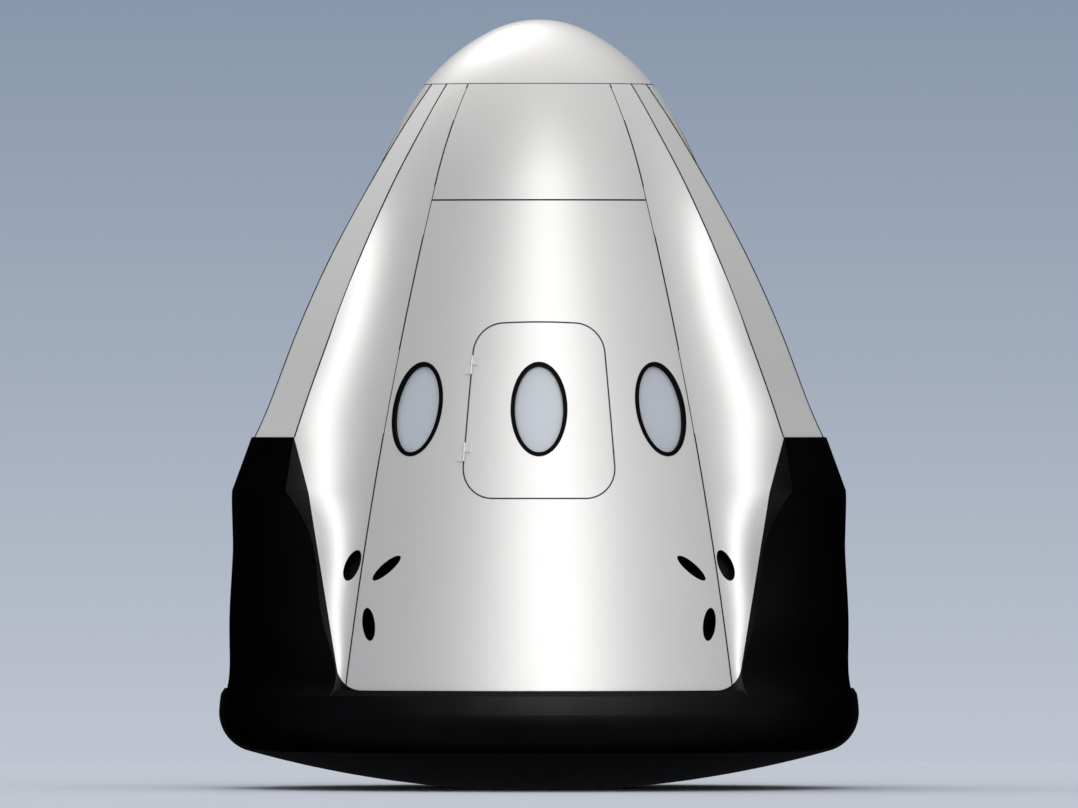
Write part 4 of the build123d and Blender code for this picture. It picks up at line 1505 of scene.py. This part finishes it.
@dataclass
class NoseInside:
    """Ribs and foot seal inside the hinged nose cap."""

    frame: dict
    ribs: int = 12
    rib_width: float = 0.012
    rib_height: float = 0.014
    low_z: float = 4.412
    high_z: float = 4.728
    steps: int = 18
    hoop_heights: tuple[float, ...] = (4.455, 4.60)
    hoop_half: float = 0.007
    hoop_steps: int = 120
    # Width of a rib's or hoop's top as a share of its foot's
    top_share: float = 0.7
    seal_profile: Outline = (
        (0.690, 4.3950), (0.712, 4.3950), (0.712, 4.3992), (0.690, 4.3992),
    )

    def section(
        self, dome: SurfaceSnap, azimuth: float, z: float, half: Vector, sunk: float
    ) -> list[Vector]:
        """Section of a rib or a hoop that stands on the cap's inner face.

        Args:
            dome: Snap on the cap.
            azimuth: Azimuth of the section in degrees.
            z: Its height.
            half: Half of its width, as a vector.
            sunk: How far its foot lies in the cap.

        Returns:
            Its four corners.
        """
        outward = aim(azimuth)
        point, inward = dome.hit(Vector((0, 0, z)), outward)
        if inward.dot(outward) > 0:
            inward = -inward
        foot = point - inward * sunk
        top = point + inward * (self.rib_height + (sunk if half.z else 0.0))
        return [foot - half, foot + half, top + half * self.top_share, top - half * self.top_share]

    def rib_mesh(self) -> BMesh:
        """Upright ribs joined by two hoops."""
        dome = SurfaceSnap([self.frame["nodes"]["nose_cap"]])
        work = bmesh.new()
        for rib in range(self.ribs):
            azimuth = 360 * (rib + 0.5) / self.ribs
            turn = math.radians(azimuth)
            half = Vector((math.cos(turn), math.sin(turn), 0)) * self.rib_width / 2
            heights = spread(self.low_z, self.high_z, self.steps)
            skin_rings(work, [self.section(dome, azimuth, z, half, 0.001) for z in heights])
        half = UP * self.hoop_half
        for z in self.hoop_heights:
            azimuths = [360 / self.hoop_steps * step for step in range(self.hoop_steps)]
            rings = [self.section(dome, azimuth, z, half, 0.002) for azimuth in azimuths]
            skin_rings(work, rings, closed=True)
        return work

    def seal(self) -> BMesh:
        """Flat seal in the gap under the cap's foot."""
        work = bmesh.new()
        add_turned(work, self.seal_profile, steps=120, closed=True)
        return work

    def build(self) -> None:
        """Makes the ribs and the seal, which swing with the cap."""
        add_piece("nose_ribs", self.rib_mesh(), DECK_PAINT, "nose")
        add_piece("nose_seal", self.seal(), SEAL_RUBBER, "nose")


@dataclass
class WallLining:
    """Moulded lining panels on the cabin's inner wall, with light bars over them."""

    gap: float = 0.004
    thickness: float = 0.012
    # Azimuth from and to, height from and to
    panels: tuple[tuple[float, float, float, float], ...] = tuple(
        (start, start + 35.6, low, high)
        for start in (37.5, 73.5, 109.5, 145.5, 181.5, 217.5, 253.5, 289.5)
        for low, high in ((1.135, 1.748), (1.752, 2.448), (2.452, 3.148), (3.152, 3.72))
    ) + ((-19.0, 19.0, 1.135, 1.748), (-19.0, 19.0, 3.02, 3.40))
    columns: int = 12
    rows: int = 8
    # Share of a panel's size that its border takes, and shares of thickness of edge and field
    border: float = 0.17
    edge_share: float = 0.25
    field_share: float = 0.55
    # Distance from the axis, height and lean in degrees of the bars of each row
    bar_rows: tuple[tuple[float, float, float], ...] = ((0.53, 4.272, 0.0), (1.02, 3.44, 62.0))
    bar_size: Point = (0.34, 0.045, 0.012)

    def panel(self, work: BMesh, start: float, end: float, low: float, high: float) -> None:
        """Adds one panel with a sunken field inside a raised border."""
        rows: list[tuple[list[Vector], list[Vector]]] = []
        for row in range(self.rows + 1):
            up = row / self.rows
            z = low + (high - low) * up
            outer, inner = [], []
            for column in range(self.columns + 1):
                across = column / self.columns
                azimuth = start + (end - start) * across
                edge = min(across, 1 - across, up, 1 - up)
                share = self.field_share
                if edge < self.border:
                    share = 1.0 if edge > 0 else self.edge_share
                outer.append(BODY.point(azimuth, z, -BODY.wall - self.gap))
                inner.append(BODY.point(azimuth, z, -BODY.wall - self.gap - self.thickness * share))
            rows.append((outer, inner))
        skin_rings(work, [outer + inner[::-1] for outer, inner in rows], caps=False)
        for outer, inner in (rows[0], rows[-1]):
            for column in range(self.columns):
                corners = [outer[column], outer[column + 1], inner[column + 1], inner[column]]
                work.faces.new([work.verts.new(corner) for corner in corners])
        bmesh.ops.remove_doubles(work, verts=work.verts, dist=1e-5)

    def light_bars(self) -> BMesh:
        """Slim bars under the forward deck and on the wall below it."""
        work = bmesh.new()
        for azimuth in range(30, 360, 60):
            turn = Matrix.Rotation(math.radians(azimuth), 4, "Z")
            for reach, z, lean in self.bar_rows:
                tilt = Matrix.Rotation(math.radians(lean), 4, "X")
                add_block(work, self.bar_size, turn @ Matrix.Translation((0, -reach, z)) @ tilt, 0.004)
        return work

    def build(self) -> None:
        """Makes the panels in one piece and the light bars in another."""
        work = bmesh.new()
        for sides in self.panels:
            self.panel(work, *sides)
        add_piece("cabin_lining", work, LINING_PANEL, smooth_angle=50)
        add_piece("cabin_lights", self.light_bars(), LIGHT_BAR)


@dataclass
class Console:
    """Three screens, their bezels and a row of keys on the console's crew side."""

    middle: Point = (0.0, -0.35, 3.15)
    lean: float = -25.0
    depth: float = 0.06
    screens: tuple[float, ...] = (-0.355, 0.0, 0.355)
    screen_y: float = -0.045
    screen_size: tuple[float, float] = (0.325, 0.215)
    bezel: float = 0.024
    keys: int = 14
    key_y: float = 0.125
    key_pitch: float = 0.068
    key_size: Point = (0.040, 0.022, 0.012)
    key_bed: Point = (1.04, 0.050, 0.006)

    def build(self) -> None:
        """Makes the bezels, the glasses and the keys."""
        tilt = Matrix.Translation(self.middle) @ Matrix.Rotation(math.radians(self.lean), 4, "X")
        face = tilt @ Matrix.Translation((0, self.depth / 2, 0)) @ Matrix.Rotation(-math.pi / 2, 4, "X")
        width, height = self.screen_size
        bezels, glasses, keys = bmesh.new(), bmesh.new(), bmesh.new()
        for x in self.screens:
            spot = face @ Matrix.Translation((x, self.screen_y, 0))
            add_block(bezels, (width + self.bezel, height + self.bezel, 0.016), spot, 0.005, (0, 0, 0.008))
            add_block(glasses, (width, height, 0.006), spot, 0.002, (0, 0, 0.0165))
        for key in range(self.keys):
            x = (key - (self.keys - 1) / 2) * self.key_pitch
            add_block(keys, self.key_size, face, 0.003, (x, self.key_y, 0.006))
        add_block(bezels, self.key_bed, face, 0.002, (0, self.key_y, 0.002))
        add_piece("screen_bezels", bezels, ANODISED)
        add_piece("screen_glasses", glasses, SCREEN_GLASS)
        add_piece("console_keys", keys, KEY_PLASTIC)


@dataclass(frozen=True)
class PadForm:
    """Size of a seat pad that lies flat, and the shares of its length where it is sewn across."""

    width: float
    length: float
    thickness: float
    seams: tuple[float, ...]
    voxel: float = 0.011


@dataclass
class CrewSeats:
    """Seat pads blown up by cloth simulation, with harness straps and buckles."""

    seat_x: tuple[float, ...] = (-0.84, -0.28, 0.28, 0.84)
    front_y: float = -0.246
    pan_z: float = 1.4708
    hip: tuple[float, float] = (0.22, 1.44)
    lean: float = -20.0
    shell: float = 0.0306
    back_start: float = 0.078
    pan: PadForm = PadForm(0.430, 0.394, 0.058, (0.34, 0.66))
    back: PadForm = PadForm(0.430, 0.735, 0.058, (0.22, 0.42, 0.62, 0.80), 0.012)
    pressure: float = 4.0
    frames: int = 20
    swell: float = 0.012
    groove_depth: float = 0.009
    groove_width: float = 0.010
    strap_width: float = 0.045
    strap_steps: int = 26
    strap_rise: float = 0.0022
    # Corners of the shoulder straps on the back, and of the hip and crotch straps on the pan
    back_strap: Outline = ((0.105, 0.715), (0.075, 0.35), (0.03, 0.06))
    hip_strap: Outline = ((0.20, 0.33), (0.03, 0.345))
    crotch_strap: Outline = ((0.0, 0.05), (0.0, 0.33))
    buckle_profile: Outline = (
        (0.0, -0.009), (0.036, -0.009), (0.038, -0.005), (0.038, 0.004), (0.033, 0.009),
        (0.012, 0.010), (0.010, 0.013), (0.0, 0.013),
    )
    # The cloth: stiffness, and the share of a pad's thickness whose lower part is held
    stiffness: float = 12
    held_share: float = 0.12
    # How much the sides pull in, and how high the crown and the channels between seams rise
    pull: float = 0.022
    crown: float = 0.006
    channel: float = 0.004

    def start_mesh(self, form: PadForm) -> bpy.types.Object:
        """Rounded pad a little smaller than the finished one, remeshed to even faces."""
        work = bmesh.new()
        low = form.thickness * 0.68
        place = Matrix.Translation((0, form.length / 2, low / 2 + 0.001))
        add_block(work, (form.width - 0.012, form.length - 0.012, low), place, 0.017)
        piece = mesh_object("pad_start", work)
        remesh = piece.modifiers.new("even", "REMESH")
        remesh.mode = "VOXEL"
        remesh.voxel_size = form.voxel
        return bake_modifiers(piece)

    def inflate(self, piece: bpy.types.Object, form: PadForm) -> None:
        """Blows the pad up with the cloth solver, with a cap on how far each point moves."""
        mesh = piece.data
        before = [vertex.co.copy() for vertex in mesh.vertices]
        held = piece.vertex_groups.new(name="held")
        low = [vertex.index for vertex in mesh.vertices if vertex.co.z < form.thickness * self.held_share]
        held.add(low, 1.0, "REPLACE")
        cloth = piece.modifiers.new("cloth", "CLOTH")
        cloth.settings.vertex_group_mass = "held"
        cloth.settings.use_pressure = True
        cloth.settings.uniform_pressure_force = self.pressure
        cloth.settings.effector_weights.gravity = 0
        cloth.settings.tension_stiffness = self.stiffness
        cloth.settings.compression_stiffness = self.stiffness
        cloth.point_cache.frame_start = 1
        cloth.point_cache.frame_end = self.frames
        for step in range(1, self.frames + 1):
            bpy.context.scene.frame_set(step)
        graph = bpy.context.evaluated_depsgraph_get()
        after = [vertex.co.copy() for vertex in piece.evaluated_get(graph).data.vertices]
        piece.modifiers.remove(cloth)
        bpy.context.scene.frame_set(1)
        for vertex, start, end in zip(mesh.vertices, before, after):
            move = end - start
            if move.length > self.swell:
                move = move.normalized() * self.swell
            vertex.co = start + move

    def finish_pad(self, piece: bpy.types.Object, form: PadForm) -> bpy.types.Object:
        """Subdivides the pad, pulls its sides in, crowns it and sews its channels."""
        divide = piece.modifiers.new("smooth", "SUBSURF")
        divide.levels = divide.render_levels = 1
        piece = bake_modifiers(piece)
        limits = [0.0, *form.seams, 1.0]
        for vertex in piece.data.vertices:
            x, y, z = vertex.co
            along = min(max(y / form.length, 0.0), 1.0)
            pull = 1 - self.pull * math.sin(math.pi * along)
            rise = min(max(z / form.thickness - 0.35, 0.0) / 0.65, 1.0)
            share = min(abs(x) / (form.width / 2), 1.0)
            crown = self.crown * (1 - share**2)
            groove = sum(
                math.exp(-(((along - seam) * form.length / self.groove_width) ** 2)) for seam in form.seams
            )
            index = max(number for number, limit in enumerate(limits[:-1]) if along >= limit)
            span = (along - limits[index]) / (limits[index + 1] - limits[index])
            channel = self.channel * math.sin(math.pi * span)
            z += rise * (crown + channel - self.channel - self.groove_depth * groove)
            vertex.co = (x * pull, y, min(max(z, 0.0006), form.thickness))
        for polygon in piece.data.polygons:
            polygon.use_smooth = True
        return piece

    def pad(self, form: PadForm) -> bpy.types.Mesh:
        """Mesh of one finished pad."""
        piece = self.start_mesh(form)
        self.inflate(piece, form)
        piece = self.finish_pad(piece, form)
        mesh = piece.data
        bpy.data.objects.remove(piece)
        return mesh

    def places(self, x: float) -> tuple[Matrix, Matrix]:
        """Places of the pan's pad and the back's pad of one seat."""
        pan = Matrix.Translation((x, self.front_y, self.pan_z))
        tilt = Matrix.Translation((x, *self.hip)) @ Matrix.Rotation(math.radians(self.lean), 4, "X")
        stand = Matrix.Translation((0, -self.shell, self.back_start)) @ Matrix.Rotation(math.pi / 2, 4, "X")
        return pan, tilt @ stand

    @staticmethod
    def face_height(pad: BVHTree, x: float, y: float, missed: float = 0.03) -> float:
        """Height of a flat pad's face, or a set one where the pad is missed."""
        met = pad.ray_cast(Vector((x, y, 0.3)), -UP)[0]
        return missed if met is None else met.z

    def strap(self, work: BMesh, pad: BVHTree, path: Sequence[tuple[float, float]], place: Matrix) -> None:
        """Adds a strap that lies on a pad along a path on its face.

        Args:
            work: Mesh that gets the strap.
            pad: Search tree of the pad, lying flat.
            path: Corners of the path, across and along the pad.
            place: Place of the pad.
        """
        points = []
        last = self.strap_steps - 1
        for step in range(self.strap_steps):
            share = step / last * (len(path) - 1)
            index = min(int(share), len(path) - 2)
            t = share - index
            x, y = (start * (1 - t) + end * t for start, end in zip(path[index], path[index + 1]))
            points.append(Vector((x, y, self.face_height(pad, x, y) + self.strap_rise)))
        marks = []
        for index, point in enumerate(points):
            bridge = (points[max(index - 1, 0)].z + points[min(index + 1, last)].z) / 2
            marks.append((Vector((point.x, point.y, max(point.z, bridge))), UP))
        rings = ribbon_rings(marks, self.strap_width, 0.0008)
        skin_rings(work, [[place @ point for point in ring] for ring in rings])

    def build(self) -> None:
        """Makes the pads, straps and buckles of every seat."""
        pads = {"pan": self.pad(self.pan), "back": self.pad(self.back)}
        trees = {name: mesh_tree(mesh) for name, mesh in pads.items()}
        straps, buckles = bmesh.new(), bmesh.new()
        for number, x in enumerate(self.seat_x, start=1):
            pan_place, back_place = self.places(x)
            for name, place in (("pan", pan_place), ("back", back_place)):
                mesh = pads[name].copy()
                mesh.transform(place)
                piece = link_mesh(f"seat_{name}_pad_{number}", mesh)
                place_piece(piece, SEAT_CLOTH, "root", ["seat_cushions"])
            for side in (-1, 1):
                for name, path, place in (
                    ("back", self.back_strap, back_place), ("pan", self.hip_strap, pan_place)
                ):
                    self.strap(straps, trees[name], [(side * across, up) for across, up in path], place)
            self.strap(straps, trees["pan"], self.crotch_strap, pan_place)
            height = self.face_height(trees["pan"], 0, 0.34)
            spot = pan_place @ Matrix.Translation((0, 0.345, height + 0.012))
            add_turned(buckles, self.buckle_profile, spot, 32)
        add_piece("harness_straps", straps, STRAP_WEB)
        add_piece("harness_buckles", buckles, BARE_METAL)


@dataclass
class ShieldJoints:
    """Fine dark strips over the joints between the heat shield's tiles."""

    frame: dict
    radii: tuple[float, ...] = (0.62, 0.88, 1.14, 1.40, 1.66)
    counts: tuple[int, ...] = (18, 24, 30, 36)
    width: float = 0.005
    height: float = 0.0006
    ring_steps: int = 144
    spoke_steps: int = 6

    def build(self) -> None:
        """Makes rings and spokes that follow the dish."""
        snap = SurfaceSnap([self.frame["nodes"]["heat_shield"]])
        work = bmesh.new()

        def on_dish(radius: float, turn: float) -> Mark:
            """Point and outward normal on the dish at a radius and an angle."""
            met, normal = snap.hit(around(turn, radius, -1.0), UP)
            return met, normal if normal.z < 0 else -normal

        for radius in self.radii:
            marks = [on_dish(radius, turn) for turn in full_turn(self.ring_steps)]
            add_ribbon(work, marks, self.width, self.height, closed=True)
        for low, high, count in zip(self.radii, self.radii[1:], self.counts):
            for step in range(count):
                # Every other ring of spokes stands half a tile further round
                turn = 2 * math.pi * (step + 0.5 * (count % 4 == 0)) / count
                marks = [on_dish(radius, turn) for radius in spread(low, high, self.spoke_steps)]
                add_ribbon(work, marks, self.width, self.height)
        add_piece("shield_joints", work, SEAM_FILL)


@dataclass(frozen=True)
class SoftLight:
    """One soft light of the studio, far away in the world.

    Attributes:
        azimuth: Azimuth that it shines from, in degrees.
        elevation: Elevation of its middle in degrees, or None for an upright strip.
        half_width: Angle from its middle, in degrees, at which it has half its strength.
        strength: Radiance in its middle.
    """

    azimuth: float
    elevation: float | None
    half_width: float
    strength: float

    def radiance(self, nodes: Nodes, ray: Socket) -> Socket:
        """Radiance that this light gives along a ray's direction."""
        if self.elevation is None:
            level = nodes.vector("MULTIPLY", ray, (1, 1, 0))
            ray = nodes.vector("NORMALIZE", level.outputs["Vector"]).outputs["Vector"]
        towards = aim(self.azimuth, math.radians(self.elevation or 0.0))
        dot = nodes.vector("DOT_PRODUCT", ray, towards)
        power = math.log(0.5) / math.log(math.cos(math.radians(self.half_width)))
        facing = nodes.math("MAXIMUM", dot.outputs["Value"], 0.0)
        return nodes.math("MULTIPLY", nodes.math("POWER", facing, power), self.strength)


@dataclass
class Stage:
    """Floor, backdrop, studio lights and camera."""

    photo_size: tuple[int, int] = (1078, 808)
    pixel: float = 0.00625
    base_row: float = 788.0
    lens_mm: float = 1000.0
    sensor_mm: float = 36.0
    floor_radius: float = 14.0
    floor_colour: Colour = (0.59, 0.625, 0.70)
    backdrop_stops: tuple[tuple[float, Colour], ...] = (
        (0.0, (0.539, 0.571, 0.645)),
        (0.5, (0.376, 0.429, 0.515)),
        (1.0, (0.246, 0.309, 0.407)),
    )
    # Even light that matt surfaces see, and the backdrop's share that glossy surfaces see
    even_light: float = 0.33
    backdrop_gloss: float = 0.25
    soft_lights: tuple[SoftLight, ...] = (
        SoftLight(azimuth=5, elevation=15, half_width=45, strength=0.6),
        SoftLight(azimuth=-138, elevation=55, half_width=24, strength=1.2),
        SoftLight(azimuth=0, elevation=90, half_width=40, strength=0.6),
    )
    gloss_lights: tuple[SoftLight, ...] = (
        SoftLight(azimuth=6, elevation=None, half_width=17, strength=1.95),
        SoftLight(azimuth=9, elevation=None, half_width=40, strength=0.8),
        SoftLight(azimuth=-156, elevation=50, half_width=15, strength=2.3),
        SoftLight(azimuth=180, elevation=70, half_width=38, strength=1.0),
        SoftLight(azimuth=68, elevation=25, half_width=24, strength=0.25),
    )
    # Rises of a ray between which a strip comes in, and between which it goes out
    strip_foot: tuple[float, float] = (-0.02, 0.15)
    strip_fade: tuple[float, float] = (0.60, 0.95)

    @property
    def width(self) -> float:
        """Width that the frame shows at the capsule's axis."""
        return self.photo_size[0] * self.pixel

    @property
    def distance(self) -> float:
        """Distance of the camera from the capsule's axis."""
        return self.width * self.lens_mm / self.sensor_mm

    def camera(self) -> None:
        """Level long-lens camera that sees the photo's frame, straight on to the hatch."""
        data = bpy.data.cameras.new("camera")
        data.lens = self.lens_mm
        data.sensor_width = self.sensor_mm
        data.clip_start = 1.0
        data.clip_end = self.distance * 10
        camera = bpy.data.objects.new("camera", data)
        height = (self.base_row - self.photo_size[1] / 2) * self.pixel
        camera.location = (0, -self.distance, height)
        camera.rotation_euler = (math.pi / 2, 0, 0)
        bpy.context.scene.collection.objects.link(camera)
        bpy.context.scene.camera = camera

    def backdrop_span(self) -> float:
        """Height of a view ray's direction at the frame's upper edge."""
        return self.photo_size[1] * self.pixel / 2 / self.distance

    def studio(self, nodes: Nodes, ray: Socket, even: float, lights: Sequence[SoftLight]) -> Socket:
        """Background that stands for the studio's lights.

        Args:
            nodes: The world's nodes.
            ray: Direction of the ray.
            even: Radiance that comes from everywhere.
            lights: Lights that are added to it.

        Returns:
            The background's shader socket.
        """
        rise = nodes.rise(ray)
        total = None
        for light in lights:
            part = light.radiance(nodes, ray)
            if light.elevation is None:
                part = nodes.math("MULTIPLY", part, nodes.fade(rise, *self.strip_foot, 0.0, 1.0))
                part = nodes.math("MULTIPLY", part, nodes.fade(rise, *self.strip_fade, 1.0, 0.0))
            total = nodes.math("ADD", part, even if total is None else total)
        background = nodes.add("ShaderNodeBackground", Color=(1, 1, 1, 1))
        nodes.link(total, background.inputs["Strength"])
        return background.outputs["Background"]

    def world(self) -> None:
        """World that lights the part as a studio does, and shows the backdrop's gradient."""
        world = bpy.data.worlds.new("backdrop")
        world.use_nodes = True
        nodes = Nodes(world.node_tree)
        out = nodes.add("ShaderNodeOutputWorld")
        place = nodes.add("ShaderNodeTexCoord")
        ray = place.outputs["Generated"]
        span = self.backdrop_span()
        share = nodes.fade(nodes.rise(ray), -span, span, 0.0, 1.0, smooth=False)
        colours = nodes.ramp(share, self.backdrop_stops)
        shown = nodes.add("ShaderNodeBackground")
        faint = nodes.add("ShaderNodeBackground", Strength=self.backdrop_gloss)
        for background in (shown, faint):
            nodes.link(colours, background.inputs["Color"])
        mirrored = nodes.add("ShaderNodeAddShader")
        nodes.link(self.studio(nodes, ray, 0.0, self.gloss_lights), mirrored.inputs[0])
        nodes.link(faint.outputs["Background"], mirrored.inputs[1])
        path = nodes.add("ShaderNodeLightPath")
        even = self.studio(nodes, ray, self.even_light, self.soft_lights)
        lit = nodes.mix(path.outputs[Ray.GLOSSY.value], even, mirrored.outputs["Shader"])
        seen = nodes.math("MAXIMUM", path.outputs[Ray.CAMERA.value], path.outputs[Ray.TRANSMISSION.value])
        nodes.link(nodes.mix(seen, lit, shown.outputs["Background"]), out.inputs["Surface"])
        world.cycles.sampling_method = "NONE"
        bpy.context.scene.world = world

    def floor(self) -> None:
        """Pale disc that the capsule stands on, as bright as the backdrop's foot."""
        work = bmesh.new()
        bmesh.ops.create_circle(work, cap_ends=True, segments=128, radius=self.floor_radius)
        floor = mesh_object("floor", work)
        floor.location.z = -0.0005
        Finish(
            "floor_paint", self.floor_colour, roughness=0.95, variation=0.004, specular=0.0,
            grain_strength=0.02,
        ).dress(floor)
        floor.visible_glossy = False

    def build(self) -> None:
        """Makes the whole stage and the view settings."""
        bpy.context.scene.view_settings.view_transform = "Standard"
        self.camera()
        self.world()
        self.floor()


def main() -> None:
    """Builds every sub-assembly in order."""
    logging.basicConfig(level=logging.INFO, format="%(name)s: %(message)s")
    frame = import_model()
    Stage().build()
    Shell(frame).build()
    FootCorners().build()
    ThrusterPorts(frame).build()
    ShieldJoints(frame).build()
    SideHatch(frame).build()
    DockingGear().build()
    NoseInside(frame).build()
    WallLining().build()
    Console().build()
    CrewSeats().build()


if __name__ == "__main__":
    main()
